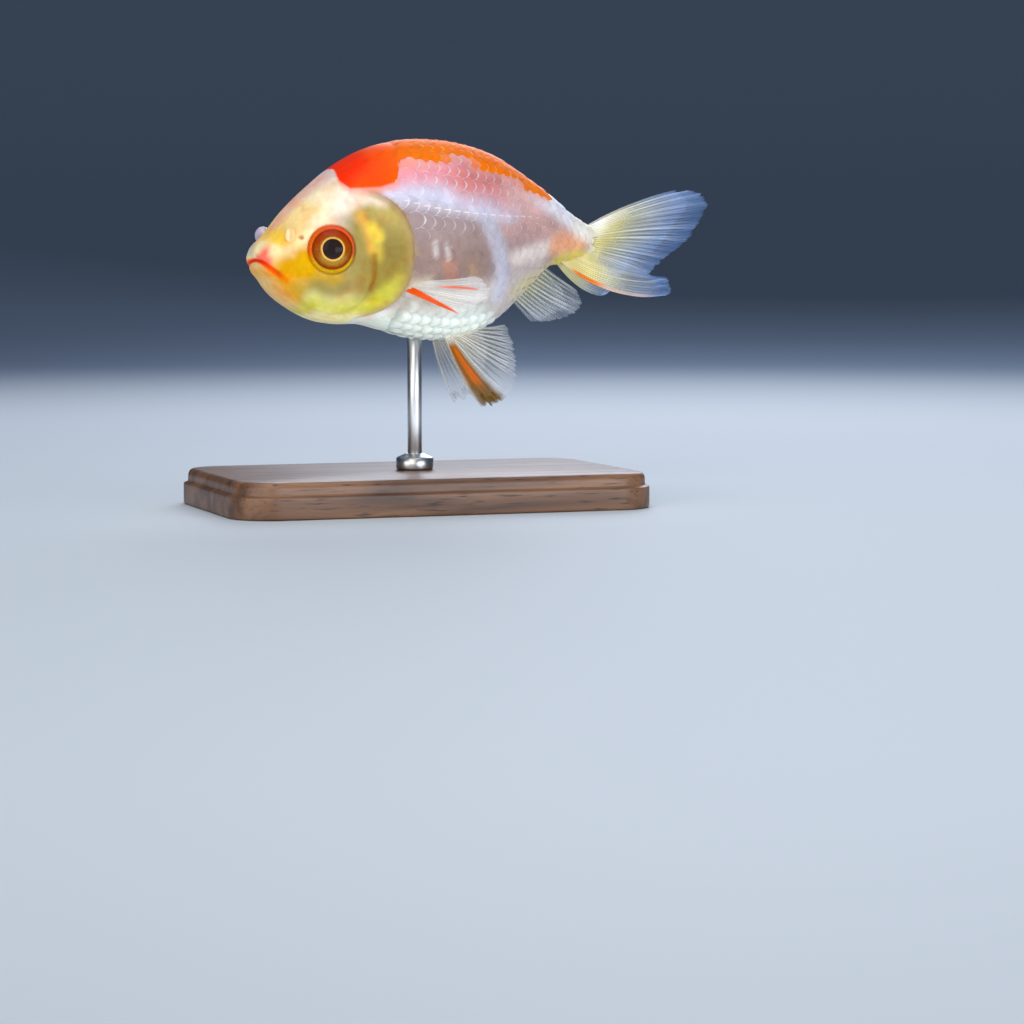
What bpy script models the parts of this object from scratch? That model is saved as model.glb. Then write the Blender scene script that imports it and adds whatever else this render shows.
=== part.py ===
"""Young ranchu goldfish, red and white, as a life-size still model on a plain display stand.

Metres, +Z up. The fish swims towards -X and its left side faces -Y. The origin is the centre of the
stand's underside, which stands on the floor.

The fish is drawn straight in its own frame first, in millimetres: x runs back, from 1 at the snout to 50
at the tail root, y is 0 on the midline and negative on the left, and z is 0 at the height of the mouth.
swim() then turns the head a little and lifts the fish to its place over the stand.
"""

import math

import bmesh
import bpy
import numpy as np
from mathutils import Matrix

MM = 0.001
PARTING_GAP = 0.3  # mm between neighbouring pieces

# The body is a loft through ribs. Each rib joins a point on the back outline to one on the belly outline.
# columns: back x, back z, belly x, belly z, half width, share of the height where it is widest, squareness
RIBS = {
    "snout": (1.0, 0.2, 1.0, 0.2, 0.0, 0.50, 2.0),
    "lips": (1.2, 2.0, 1.3, -1.5, 2.6, 0.50, 2.2),
    "nostril": (3.4, 4.0, 2.7, -4.1, 4.4, 0.46, 2.3),
    "brow": (6.2, 7.2, 5.1, -6.2, 6.1, 0.44, 2.4),
    "eye": (9.7, 10.4, 8.4, -7.8, 7.7, 0.44, 2.4),
    "cheek": (13.0, 13.0, 12.4, -8.6, 8.9, 0.44, 2.4),
    "nape": (16.9, 15.2, 16.4, -8.7, 9.7, 0.45, 2.3),
    "shoulder": (21.3, 16.5, 20.9, -9.9, 10.2, 0.46, 2.2),
    "crown": (26.0, 16.85, 25.6, -10.7, 10.4, 0.46, 2.1),
    "belly": (31.0, 16.35, 30.6, -10.5, 9.8, 0.46, 2.1),
    "vent": (35.8, 14.85, 35.8, -8.4, 8.0, 0.46, 2.1),
    "rump": (40.2, 12.35, 40.2, -4.7, 5.7, 0.47, 2.0),
    "stalk": (44.4, 9.5, 44.2, -0.9, 3.9, 0.49, 2.0),
    "stalk_end": (47.6, 6.9, 47.3, -0.4, 2.8, 0.50, 2.0),
    "tail_root": (50.4, 5.1, 49.9, 0.1, 2.0, 0.50, 2.0),
}
RIB_NAMES = list(RIBS)
WIDEST = RIBS["crown"][4]
SECTION_POINTS = 30
RINGS = {"head": 20, "trunk": 16, "tail_stalk": 8, "gill_cover": 24, "whole": 44}

# pose: the head is turned a little to the left, and the whole fish is held over the stand
HEAD_TURN_DEG = 10.0
NECK_X = 21.0  # mm; the bend lies in front of this
MOUTH_HEIGHT = 34.0  # mm from the floor up to z = 0 of the fish

# eyes
EYE_CENTRE = (9.9, -6.6, 1.5)
EYE_RADIUS = 3.3
EYE_HALF_DEPTH = 2.6
EYE_FORWARD_DEG = 16.0  # an eye looks outwards and this much forwards
EYE_UP_DEG = 3.0

# nasal flaps, the small fleshy lobes over the nostrils
FLAP_CENTRE = (4.5, -4.8, 3.5)
FLAP_HALF_SIZE = (0.85, 1.1, 1.0)

# gill covers: the hind half of a rounded outline on each side
GILL_CENTRE = (12.5, 0.9)
GILL_REACH = 8.8  # mm back from the centre
GILL_HALF_HEIGHT = 8.6
GILL_SQUARENESS = 2.4
GILL_FRONT_X = 14.6
GILL_CORE_SHARE = 0.86  # of the body's half width, which is what lies under the covers
GILL_OUTLINE_POINTS = 22
GILL_SPAN = ("nostril", "belly")  # the ribs that the covers lie between
GILL_FROM_MIDLINE = 2.0

# the lower jaw: its side outline, from in front of the lips along the mouth line and down the throat
JAW_OUTLINE = ((-2.0, 0.5), (1.5, 0.5), (2.7, -0.3), (4.6, -2.3), (5.5, -3.8), (6.0, -10.0), (-2.0, -10.0))
JAW_HALF_WIDTH = 9.0  # more than the head's, so that the cut goes right through

FIN_THICKNESS = 0.6
FIN_STEPS = 7  # points along a ray
RAYS_PER_KEY = 3

# A fin is a fan of rays, and each key ray is
# (root x, y, z, side angle, turn of that angle along the ray, reach, outward lean, turn of the lean), in
# millimetres and degrees. A side angle of 0 points straight back and 90 up.
FIN_KEY_RAYS = {
    "pectoral_fin": (
        (19.6, -8.3, -3.6, -28.0, 6.0, 9.3, 26.0, -8.0),
        (19.8, -8.4, -3.3, -17.0, 6.0, 11.7, 26.0, -6.0),
        (20.0, -8.5, -3.0, -8.0, 6.0, 12.6, 25.0, -6.0),
        (20.2, -8.6, -2.7, 0.0, 8.0, 10.6, 24.0, -6.0),
    ),
    "pelvic_fin": (
        (27.9, -2.6, -9.6, -79.0, 24.0, 12.6, 14.0, 4.0),
        (28.4, -2.8, -9.6, -60.0, 14.0, 13.2, 14.0, 6.0),
        (28.9, -3.0, -9.5, -42.0, 10.0, 11.7, 15.0, 6.0),
        (29.4, -3.2, -9.4, -22.0, 4.0, 9.3, 16.0, 4.0),
        (29.9, -3.4, -9.3, 2.0, 6.0, 6.9, 16.0, 2.0),
    ),
    "anal_fin": (
        (38.4, -0.7, -4.6, -46.0, 6.0, 6.2, 10.0, 8.0),
        (39.6, -0.8, -3.4, -38.0, 6.0, 8.4, 10.0, 10.0),
        (41.0, -0.8, -2.0, -32.0, 4.0, 9.2, 10.0, 10.0),
        (42.6, -0.8, 0.0, -38.0, 0.0, 7.2, 10.0, 10.0),
    ),
    "tail_lobe_upper": (
        (49.4, -0.5, 4.4, 30.0, -20.0, 17.4, 4.0, 6.0),
        (49.4, -0.6, 4.0, 20.0, -12.0, 19.2, 5.0, 8.0),
        (49.2, -0.8, 3.3, 8.0, -8.0, 16.8, 7.0, 10.0),
        (48.9, -0.9, 2.6, -4.0, -6.0, 13.4, 10.0, 12.0),
        (48.4, -1.0, 1.9, -16.0, -4.0, 11.4, 14.0, 14.0),
    ),
    "tail_lobe_lower": (
        (48.0, -1.1, 1.4, -23.0, 4.0, 11.4, 18.0, 16.0),
        (47.4, -1.1, 0.9, -31.0, 34.0, 14.6, 20.0, 30.0),
        (46.8, -1.1, 0.4, -40.0, 46.0, 17.0, 22.0, 34.0),
        (46.0, -1.1, -0.1, -47.0, 54.0, 17.2, 22.0, 30.0),
    ),
}

# stand
BASE_LENGTH = 60.0
BASE_WIDTH = 36.0
BASE_HEIGHT = 5.0
BASE_CORNER_RADIUS = 6.0
BASE_EDGE = 1.0
ROD_RADIUS = 1.0
ROD_X = 24.6  # in the fish's frame, under the middle of the weight
ROD_IN_BELLY = 3.0
ROD_IN_BASE = 3.0
COLLAR_RADIUS = 2.6
COLLAR_HEIGHT = 2.0

COLOURS = {  # linear red, green, blue; roughness; metallic
    "skin": ((0.78, 0.66, 0.58), 0.35, 0.0),
    "cheek": ((0.72, 0.60, 0.22), 0.35, 0.0),
    "eye": ((0.65, 0.10, 0.01), 0.15, 0.0),
    "fin": ((0.75, 0.76, 0.70), 0.40, 0.0),
    "flap": ((0.60, 0.50, 0.52), 0.40, 0.0),
    "walnut": ((0.10, 0.045, 0.022), 0.35, 0.0),
    "steel": ((0.55, 0.55, 0.56), 0.30, 1.0),
}


# ---------------------------------------------------------------- scene and objects


def clear_scene():
    for obj in list(bpy.data.objects):
        bpy.data.objects.remove(obj)


def new_collection(name):
    collection = bpy.data.collections.new(name)
    bpy.context.scene.collection.children.link(collection)
    return collection


def material(name):
    colour, roughness, metallic = COLOURS[name]
    found = bpy.data.materials.get(name) or bpy.data.materials.new(name)
    found.use_nodes = True
    shader = found.node_tree.nodes["Principled BSDF"]
    shader.inputs["Base Color"].default_value = (*colour, 1.0)
    shader.inputs["Roughness"].default_value = roughness
    shader.inputs["Metallic"].default_value = metallic
    return found


def add_part(name, mesh, colour):
    obj = bpy.data.objects.new(name, mesh)
    bpy.data.collections["goldfish"].objects.link(obj)
    mesh.materials.append(material(colour))
    mesh.shade_smooth()
    mesh.set_sharp_from_angle(angle=math.radians(40))
    return obj


def add_cutter(name, mesh):
    obj = bpy.data.objects.new(name, mesh)
    bpy.data.collections["cutters"].objects.link(obj)
    obj.hide_render = True
    obj.display_type = "WIRE"
    return obj


def boolean(obj, other, operation):
    step = obj.modifiers.new(f"{operation.lower()} {other.name}", "BOOLEAN")
    step.operation = operation
    step.object = other


# ---------------------------------------------------------------- the body's shape


def through(rows, at):
    """Smooth values between rows of numbers: a Catmull-Rom curve, read at row numbers that need not be
    whole. The first and last rows are guides, and row number 0 is the second of them."""
    rows = np.asarray(rows, float)
    at = np.asarray(at, float)
    i = np.clip(np.floor(at).astype(int), 0, len(rows) - 4)
    t = (at - i)[:, None]
    a, b, c, d = rows[i], rows[i + 1], rows[i + 2], rows[i + 3]
    return b + 0.5 * t * (c - a + t * (2 * a - 5 * b + 4 * c - d + t * (3 * (b - c) + d - a)))


def with_guides(rows, before=None):
    """Rows with a guide at each end, in line with the last two, or with the given one before the first."""
    rows = np.asarray(rows, float)
    first = 2 * rows[0] - rows[1] if before is None else before
    return np.vstack([first, rows, 2 * rows[-1] - rows[-2]])


def rib_rows():
    """The guide before the snout is the lips' rib turned over, which makes the snout round."""
    back_x, back_z, belly_x, belly_z, width, waist, square = RIBS["lips"]
    return with_guides(list(RIBS.values()), (belly_x, belly_z, back_x, back_z, -width, waist, square))


def body_points(stations, angles, share=1.0):
    """Points of the body, one row for each station (a rib number, which need not be whole). An angle of 0
    is the ridge of the back and 90 degrees the left side. Each section is two half superellipses about
    the waist, and share makes it smaller towards there."""
    rib = through(rib_rows(), stations)[:, None, :]
    back, belly, width = rib[..., 0:2], rib[..., 2:4], rib[..., 4]
    waist = belly + rib[..., 5:6] * (back - belly)
    power = 2.0 / rib[..., 6]
    up, out = np.cos(angles)[None, :], np.sin(angles)[None, :]
    height = np.where(up[..., None] > 0, back - waist, belly - waist)
    middle = waist + share * height * (np.abs(up) ** power)[..., None]
    y = -share * width * np.sign(out) * np.abs(out) ** power
    return np.stack([middle[..., 0], y, middle[..., 1]], axis=-1)


def station(name):
    return RIB_NAMES.index(name)


def just_behind(name):
    """The station a parting gap behind a rib."""
    here = station(name)
    return here + PARTING_GAP / (RIBS[RIB_NAMES[here + 1]][0] - RIBS[name][0])


def head_turn(x):
    """How far the midline has turned to the left at x, in radians."""
    return math.radians(HEAD_TURN_DEG) / NECK_X * np.maximum(NECK_X - x, 0.0)


def swim(points):
    """Turns the head and puts the fish over the stand. In front of NECK_X the midline is an arc, which
    has turned by HEAD_TURN_DEG at the snout."""
    x, y, z = np.moveaxis(np.asarray(points, float), -1, 0)
    turn = head_turn(x)
    radius = NECK_X / math.radians(HEAD_TURN_DEG)
    bent_x = np.where(x < NECK_X, NECK_X - radius * np.sin(turn), x) - y * np.sin(turn)
    bent_y = y * np.cos(turn) - radius * (1 - np.cos(turn))
    return np.stack([bent_x - ROD_X, bent_y, z + MOUTH_HEIGHT], axis=-1) * MM


def grid_faces(rows, columns, wrap):
    """Quads of a grid of points, joined round to the first column if wrap is true."""
    r, c = np.meshgrid(np.arange(rows - 1), np.arange(columns if wrap else columns - 1), indexing="ij")
    after = (c + 1) % columns
    corners = (r * columns + c, r * columns + after, (r + 1) * columns + after, (r + 1) * columns + c)
    return np.stack(corners, axis=-1).reshape(-1, 4).tolist()


def mesh_of(name, points, faces):
    """A mesh with the points that meet merged, as at the snout, and every face turned outwards."""
    mesh = bpy.data.meshes.new(name)
    mesh.from_pydata(points.tolist(), [], faces)
    work = bmesh.new()
    work.from_mesh(mesh)
    bmesh.ops.remove_doubles(work, verts=work.verts, dist=0.01 * MM)
    bmesh.ops.recalc_face_normals(work, faces=work.faces)
    work.to_mesh(mesh)
    work.free()
    return mesh


def body_mesh(name, first, last, rings, share=1.0):
    """A closed length of the body between two stations, with flat ends."""
    stations = np.linspace(first, last, rings)
    angles = np.arange(SECTION_POINTS) * 2 * math.pi / SECTION_POINTS
    points = swim(body_points(stations, angles, share)).reshape(-1, 3)
    ends = [np.arange(SECTION_POINTS) + (rings - 1) * SECTION_POINTS]
    if first > 0:
        ends.append(np.arange(SECTION_POINTS))
    faces = grid_faces(rings, SECTION_POINTS, wrap=True) + [end.tolist() for end in ends]
    return mesh_of(name, points, faces)


def swollen(mesh, distance):
    """The same closed mesh with its surface moved outwards by distance, in millimetres."""
    for vertex, normal in zip(mesh.vertices, [v.normal.copy() for v in mesh.vertices]):
        vertex.co += normal * distance * MM
    mesh.update()
    return mesh


def prism_mesh(name, outline, y_first, y_last):
    """A side outline of (x, z) points, carried across the fish from y_first to y_last."""
    corners = len(outline)
    points = np.array([(x, y, z) for y in (y_first, y_last) for x, z in outline])
    sides = [[i, (i + 1) % corners, corners + (i + 1) % corners, corners + i] for i in range(corners)]
    ends = [list(range(corners)), list(range(corners, 2 * corners))]
    return mesh_of(name, swim(points), sides + ends)


# ---------------------------------------------------------------- head


def gill_outline(margin):
    """The hind part of a superellipse, closed by a straight front edge."""
    power = 2.0 / GILL_SQUARENESS
    front = GILL_FRONT_X - margin
    widest = math.acos(((front - GILL_CENTRE[0]) / (GILL_REACH + margin)) ** (1 / power))
    turn = np.linspace(-widest, widest, GILL_OUTLINE_POINTS)
    x = GILL_CENTRE[0] + (GILL_REACH + margin) * np.cos(turn) ** power
    z = GILL_CENTRE[1] + (GILL_HALF_HEIGHT + margin) * np.sign(np.sin(turn)) * np.abs(np.sin(turn)) ** power
    return list(zip(x, z))


def gill_prism(name, side, margin):
    inner = GILL_FROM_MIDLINE - margin
    return prism_mesh(name, gill_outline(margin), -side * inner, -side * 2 * WIDEST)


def gill_body(name, share):
    first, last = (station(rib) for rib in GILL_SPAN)
    return body_mesh(name, first, last, RINGS["gill_cover"], share)


def add_gill_cover(side_name, side):
    """One cover is what a side outline takes from the body's outer shell. What lies under it, the core,
    is the body again, a little smaller. The recess leaves the gap all round the cover."""
    core = add_cutter(f"gill_core_{side_name}", gill_body("core", GILL_CORE_SHARE))
    inner_share = GILL_CORE_SHARE - PARTING_GAP / WIDEST
    inner_core = add_cutter(f"gill_inner_core_{side_name}", gill_body("inner core", inner_share))
    recess = add_cutter(f"gill_recess_{side_name}", gill_prism("recess", side, PARTING_GAP))
    boolean(recess, inner_core, "DIFFERENCE")
    outline = add_cutter(f"gill_outline_{side_name}", gill_prism("outline", side, 0.0))
    cover = add_part(f"gill_cover_{side_name}", gill_body("gill cover", 1.0), "cheek")
    boolean(cover, outline, "INTERSECT")
    boolean(cover, core, "DIFFERENCE")
    return recess


def ellipsoid(name, centre, half_size, turn, segments, rings):
    """half_size is along the ellipsoid's own axes, which turn then turns. The centre is in the fish's
    frame, and the whole ellipsoid turns with the head there."""
    work = bmesh.new()
    bmesh.ops.create_uvsphere(work, u_segments=segments, v_segments=rings, radius=MM)
    follow = Matrix.Rotation(head_turn(centre[0]), 4, "Z")
    place = Matrix.Translation(swim(centre))
    sizes = Matrix.Diagonal((*half_size, 1.0))
    bmesh.ops.transform(work, matrix=place @ follow @ turn @ sizes, verts=work.verts)
    mesh = bpy.data.meshes.new(name)
    work.to_mesh(mesh)
    work.free()
    return mesh


def eye_mesh(name, side, margin):
    """A flattened ball whose poles look outwards, a little forwards and up."""
    forward = Matrix.Rotation(-side * math.radians(EYE_FORWARD_DEG), 4, "Z")
    up = Matrix.Rotation(side * math.radians(90.0 - EYE_UP_DEG), 4, "X")
    half_size = (EYE_RADIUS + margin, EYE_RADIUS + margin, EYE_HALF_DEPTH + margin)
    x, y, z = EYE_CENTRE
    return ellipsoid(name, (x, side * y, z), half_size, forward @ up, 18, 10)


def flap_mesh(name, side, margin):
    x, y, z = FLAP_CENTRE
    half_size = [size + margin for size in FLAP_HALF_SIZE]
    return ellipsoid(name, (x, side * y, z), half_size, Matrix.Identity(4), 12, 8)


def add_head():
    """The head and the lower jaw are the same length of the body, parted along the mouth line."""
    head = add_part("head", body_mesh("head", 0, station("nape"), RINGS["head"]), "skin")
    jaw = add_part("lower_jaw", body_mesh("lower jaw", 0, station("nape"), RINGS["head"]), "skin")
    wedge = add_cutter("jaw_wedge", prism_mesh("wedge", JAW_OUTLINE, -JAW_HALF_WIDTH, JAW_HALF_WIDTH))
    outside = [(x + PARTING_GAP, z + PARTING_GAP) for x, z in JAW_OUTLINE]
    notch = add_cutter("jaw_notch", prism_mesh("notch", outside, -JAW_HALF_WIDTH, JAW_HALF_WIDTH))
    boolean(jaw, wedge, "INTERSECT")
    boolean(head, notch, "DIFFERENCE")
    return head


# ---------------------------------------------------------------- fins


def fin_sheet(keys):
    """The fin's middle surface as a grid of points, one row for each ray. A ray's direction turns evenly
    from root to tip, and its points add up the steps in that direction."""
    rays = (len(keys) - 1) * RAYS_PER_KEY + 1
    key = through(with_guides(keys), np.linspace(0, len(keys) - 1, rays))
    root, reach = key[:, None, 0:3], key[:, None, 5:6]
    along = (np.arange(FIN_STEPS - 1) + 0.5) / (FIN_STEPS - 1)
    side = np.radians(key[:, 3:4] + key[:, 4:5] * along)
    lean = np.radians(key[:, 6:7] + key[:, 7:8] * along)
    heading = np.stack([np.cos(side) * np.cos(lean), -np.sin(lean), np.sin(side) * np.cos(lean)], axis=-1)
    steps = np.cumsum(heading * reach / (FIN_STEPS - 1), axis=1)
    return np.concatenate([root, root + steps], axis=1)


def add_fin(kind, side_name, side, body_cutter):
    sheet = fin_sheet(FIN_KEY_RAYS[kind]) * np.array((1.0, side, 1.0))
    rays, steps, _ = sheet.shape
    mesh = mesh_of(kind, swim(sheet).reshape(-1, 3), grid_faces(rays, steps, wrap=False))
    fin = add_part(f"{kind}_{side_name}", mesh, "fin")
    thicken = fin.modifiers.new("thickness", "SOLIDIFY")
    thicken.thickness = FIN_THICKNESS * MM
    thicken.offset = 0.0
    boolean(fin, body_cutter, "DIFFERENCE")


# ---------------------------------------------------------------- stand


def cylinder(name, radius, bottom, top, segments=20):
    """An upright cylinder on the stand's axis, between two heights in millimetres."""
    work = bmesh.new()
    middle = Matrix.Translation((0.0, 0.0, (bottom + top) / 2 * MM))
    bmesh.ops.create_cone(
        work, cap_ends=True, segments=segments, radius1=radius * MM, radius2=radius * MM,
        depth=(top - bottom) * MM, matrix=middle,
    )
    mesh = bpy.data.meshes.new(name)
    work.to_mesh(mesh)
    work.free()
    return mesh


def base_mesh():
    """A block with rounded upright corners, standing on z = 0."""
    work = bmesh.new()
    size = Matrix.Diagonal((BASE_LENGTH * MM, BASE_WIDTH * MM, BASE_HEIGHT * MM, 1.0))
    lift = Matrix.Translation((0.0, 0.0, BASE_HEIGHT / 2 * MM))
    bmesh.ops.create_cube(work, size=1.0, matrix=lift @ size)
    upright = [edge for edge in work.edges if abs(edge.verts[0].co.z - edge.verts[1].co.z) > MM]
    bmesh.ops.bevel(
        work, geom=upright, offset=BASE_CORNER_RADIUS * MM, segments=4, profile=0.5, affect="EDGES"
    )
    mesh = bpy.data.meshes.new("stand base")
    work.to_mesh(mesh)
    work.free()
    return mesh


def belly_height():
    """The height of the belly's underside over the stand's axis, in millimetres."""
    stations = np.linspace(station("nape"), station("belly"), 80)
    underside = body_points(stations, np.array([math.pi]))[:, 0]
    return MOUTH_HEIGHT + float(np.interp(ROD_X, underside[:, 0], underside[:, 2]))


def add_stand(trunk):
    base = add_part("stand_base", base_mesh(), "walnut")
    rim = base.modifiers.new("rounded edge", "BEVEL")
    rim.width = BASE_EDGE * MM
    rim.segments = 2
    rim.limit_method = "ANGLE"
    rim.angle_limit = math.radians(60)
    rod_top = belly_height() + ROD_IN_BELLY
    rod_bottom = BASE_HEIGHT - ROD_IN_BASE
    add_part("stand_rod", cylinder("rod", ROD_RADIUS, rod_bottom, rod_top), "steel")
    loose = ROD_RADIUS + PARTING_GAP
    hole = add_cutter("rod_hole", cylinder("hole", loose, rod_bottom - PARTING_GAP, BASE_HEIGHT + 5.0))
    boolean(base, hole, "DIFFERENCE")
    socket = add_cutter("rod_socket", cylinder("socket", loose, 10.0, rod_top + PARTING_GAP))
    boolean(trunk, socket, "DIFFERENCE")
    foot = BASE_HEIGHT + PARTING_GAP
    collar = add_part("stand_collar", cylinder("collar", COLLAR_RADIUS, foot, foot + COLLAR_HEIGHT), "steel")
    bore = add_cutter("collar_bore", cylinder("bore", loose, BASE_HEIGHT - 1.0, foot + COLLAR_HEIGHT + 1.0))
    boolean(collar, bore, "DIFFERENCE")


# ---------------------------------------------------------------- the whole model


def build():
    clear_scene()
    new_collection("goldfish")
    new_collection("cutters")

    head = add_head()
    rump, tail_root = station("rump"), station("tail_root")
    trunk = add_part("trunk", body_mesh("trunk", just_behind("nape"), rump, RINGS["trunk"]), "skin")
    stalk_mesh = body_mesh("tail stalk", just_behind("rump"), tail_root, RINGS["tail_stalk"])
    add_part("tail_stalk", stalk_mesh, "skin")
    whole = body_mesh("around body", 0, tail_root, RINGS["whole"])
    around_body = add_cutter("around_body", swollen(whole, PARTING_GAP))

    for side_name, side in (("left", 1), ("right", -1)):
        recess = add_gill_cover(side_name, side)
        boolean(head, recess, "DIFFERENCE")
        boolean(trunk, recess, "DIFFERENCE")
        add_part(f"eye_{side_name}", eye_mesh("eye", side, 0.0), "eye")
        socket = add_cutter(f"eye_socket_{side_name}", eye_mesh("socket", side, PARTING_GAP))
        boolean(head, socket, "DIFFERENCE")
        add_part(f"nasal_flap_{side_name}", flap_mesh("flap", side, 0.0), "flap")
        seat = add_cutter(f"flap_seat_{side_name}", flap_mesh("seat", side, PARTING_GAP))
        boolean(head, seat, "DIFFERENCE")
        for kind in FIN_KEY_RAYS:
            add_fin(kind, side_name, side, around_body)
    add_stand(trunk)


build()
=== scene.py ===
# %% [markdown]
# # A young ranchu goldfish on a display stand
# A museum fish is cast from a real one, painted in thin glazes over a pearly ground, and held up by a rod,
# because a fish has nothing to stand on. This notebook makes one in Blender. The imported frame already
# holds the plain solids at their real size. Here the flesh gets one seamless skin and its scales, the fins
# get rays that let light through, the eyes get depth, and the stand gets its oil and its turned steel.
#
# All shapes are worked out with numpy in the fish's own frame, in millimetres: x runs back from the snout,
# y is 0 on the midline and negative on the left, and z is 0 at the height of the mouth. One function then
# puts any of them over the stand, so every piece agrees with the solids.

# %% Load the frame and keep its box
import math

import bpy
import numpy as np
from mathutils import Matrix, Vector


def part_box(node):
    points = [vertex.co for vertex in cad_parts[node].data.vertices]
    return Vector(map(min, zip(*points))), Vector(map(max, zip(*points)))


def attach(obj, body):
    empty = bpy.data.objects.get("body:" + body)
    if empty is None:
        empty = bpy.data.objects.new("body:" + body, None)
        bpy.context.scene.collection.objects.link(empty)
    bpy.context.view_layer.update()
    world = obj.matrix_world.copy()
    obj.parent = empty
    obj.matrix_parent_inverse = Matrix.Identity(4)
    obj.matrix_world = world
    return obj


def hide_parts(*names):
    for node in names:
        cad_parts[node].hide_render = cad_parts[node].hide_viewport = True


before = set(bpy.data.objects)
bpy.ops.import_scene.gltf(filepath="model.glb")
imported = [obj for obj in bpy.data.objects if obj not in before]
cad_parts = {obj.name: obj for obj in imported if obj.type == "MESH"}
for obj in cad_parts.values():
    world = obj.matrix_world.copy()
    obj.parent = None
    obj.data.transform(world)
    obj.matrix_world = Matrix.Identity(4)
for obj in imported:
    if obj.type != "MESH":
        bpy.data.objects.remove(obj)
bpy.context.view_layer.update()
MM = 0.001
rng = np.random.default_rng(7)

# %% [markdown]
# ## Small helpers
# Colours are sRGB hex values, as on a paint chart, and one function turns them into the linear numbers that
# light is reckoned in. A mesh goes in as whole arrays of points and faces, which is far quicker than adding
# one vertex at a time. Values at the points, such as the paint, go in as attributes that a material reads.


# %% Colours and steps
def linear(hex_colour):
    """sRGB to linear: a share up to 0.04045 is divided by 12.92, and the rest follows a power of 2.4."""
    share = np.array([int(hex_colour[i : i + 2], 16) / 255 for i in (1, 3, 5)])
    return np.where(share <= 0.04045, share / 12.92, ((share + 0.055) / 1.055) ** 2.4)


def smooth(low, high, value):
    """0 at low, 1 at high, and 3t^2 - 2t^3 between them. With low above high it falls instead."""
    t = np.clip((value - low) / (high - low), 0.0, 1.0)
    return t * t * (3 - 2 * t)


def bell(distance, width):
    """exp(-(distance / width)^2), a soft bump."""
    return np.exp(-((distance / width) ** 2))


print("a mid grey, linear:", linear("#808080").round(3))

# %% Meshes from arrays
def quads_of(rows, columns, around=False):
    """Quads between neighbours of a grid of points. around joins the last column to the first."""
    r, c = np.meshgrid(np.arange(rows - 1), np.arange(columns if around else columns - 1), indexing="ij")
    after = (c + 1) % columns
    corners = (r * columns + c, r * columns + after, (r + 1) * columns + after, (r + 1) * columns + c)
    return np.stack(corners, axis=-1).reshape(-1, 4)


def capped(rings):
    """A tube of rings, shaped (rings, points, 3), closed with a fan to the middle of each end: its points,
    its quads and its triangles."""
    rows, columns, _ = rings.shape
    quads = quads_of(rows, columns, around=True)
    here = np.arange(columns)
    after = (here + 1) % columns
    first, last = rows * columns, rows * columns + 1
    fans = [
        np.stack([np.full(columns, first), after, here], axis=-1),
        np.stack([np.full(columns, last), first - columns + here, first - columns + after], axis=-1),
    ]
    ends = [rings[0].mean(0), rings[-1].mean(0)]
    return np.concatenate([rings.reshape(-1, 3), ends]), quads, np.concatenate(fans)


def turned_out(points, quads, triangles):
    """Turns all faces round if the closed shape's signed volume, the sum of a . (b x c) over its
    triangles, is negative."""
    parts = [triangles, quads[:, [0, 1, 2]], quads[:, [0, 2, 3]]]
    a, b, c = (points[np.concatenate(parts)[:, i]] for i in range(3))
    inside_out = np.einsum("ij,ij->i", a, np.cross(b, c)).sum() < 0
    return (quads[:, ::-1], triangles[:, ::-1]) if inside_out else (quads, triangles)


NO_TRIANGLES = np.zeros((0, 3), int)
print("faces in a grid of 3 by 4 points:", len(quads_of(3, 4)))


# %% A mesh object in one go
def add_piece(name, points, quads, triangles=NO_TRIANGLES, values=None, uv=None):
    """A smooth mesh object. points are in metres, values holds a number or a colour for each point, and uv
    a place for each point."""
    mesh = bpy.data.meshes.new(name)
    mesh.vertices.add(len(points))
    mesh.vertices.foreach_set("co", points.astype(np.float32).ravel())
    corners = np.concatenate([quads.ravel(), triangles.ravel()]).astype(np.int32)
    sizes = np.repeat([4, 3], [len(quads), len(triangles)])
    mesh.loops.add(len(corners))
    mesh.loops.foreach_set("vertex_index", corners)
    mesh.polygons.add(len(sizes))
    mesh.polygons.foreach_set("loop_start", (np.cumsum(sizes) - sizes).astype(np.int32))
    for key, value in (values or {}).items():
        if value.ndim == 2:
            colours = np.column_stack([value, np.ones(len(value))]).astype(np.float32)
            mesh.attributes.new(key, "FLOAT_COLOR", "POINT").data.foreach_set("color", colours.ravel())
        else:
            mesh.attributes.new(key, "FLOAT", "POINT").data.foreach_set("value", value.astype(np.float32))
    if uv is not None:
        mesh.uv_layers.new(name="OFBake").data.foreach_set("uv", uv[corners].astype(np.float32).ravel())
    mesh.update(calc_edges=True)
    mesh.validate()
    mesh.shade_smooth()
    piece = bpy.data.objects.new(name, mesh)
    bpy.context.scene.collection.objects.link(piece)
    return piece


# %% [markdown]
# ## The body as a function of two numbers
# A ranchu has no back fin, so its body is one clean egg, and a loft suits it: fifteen ribs, the same as in
# the solids, with a smooth curve through them. A place on it is given by the station u, which counts ribs
# from the snout to the tail, and by s, which walks round the section at an even pace: 0 on the back, 1 on
# the belly by the left side, and 2 on the back again by the right. An even pace matters, because scales and
# the skin's grid are laid out in s, and they would bunch up in a plain angle.

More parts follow.
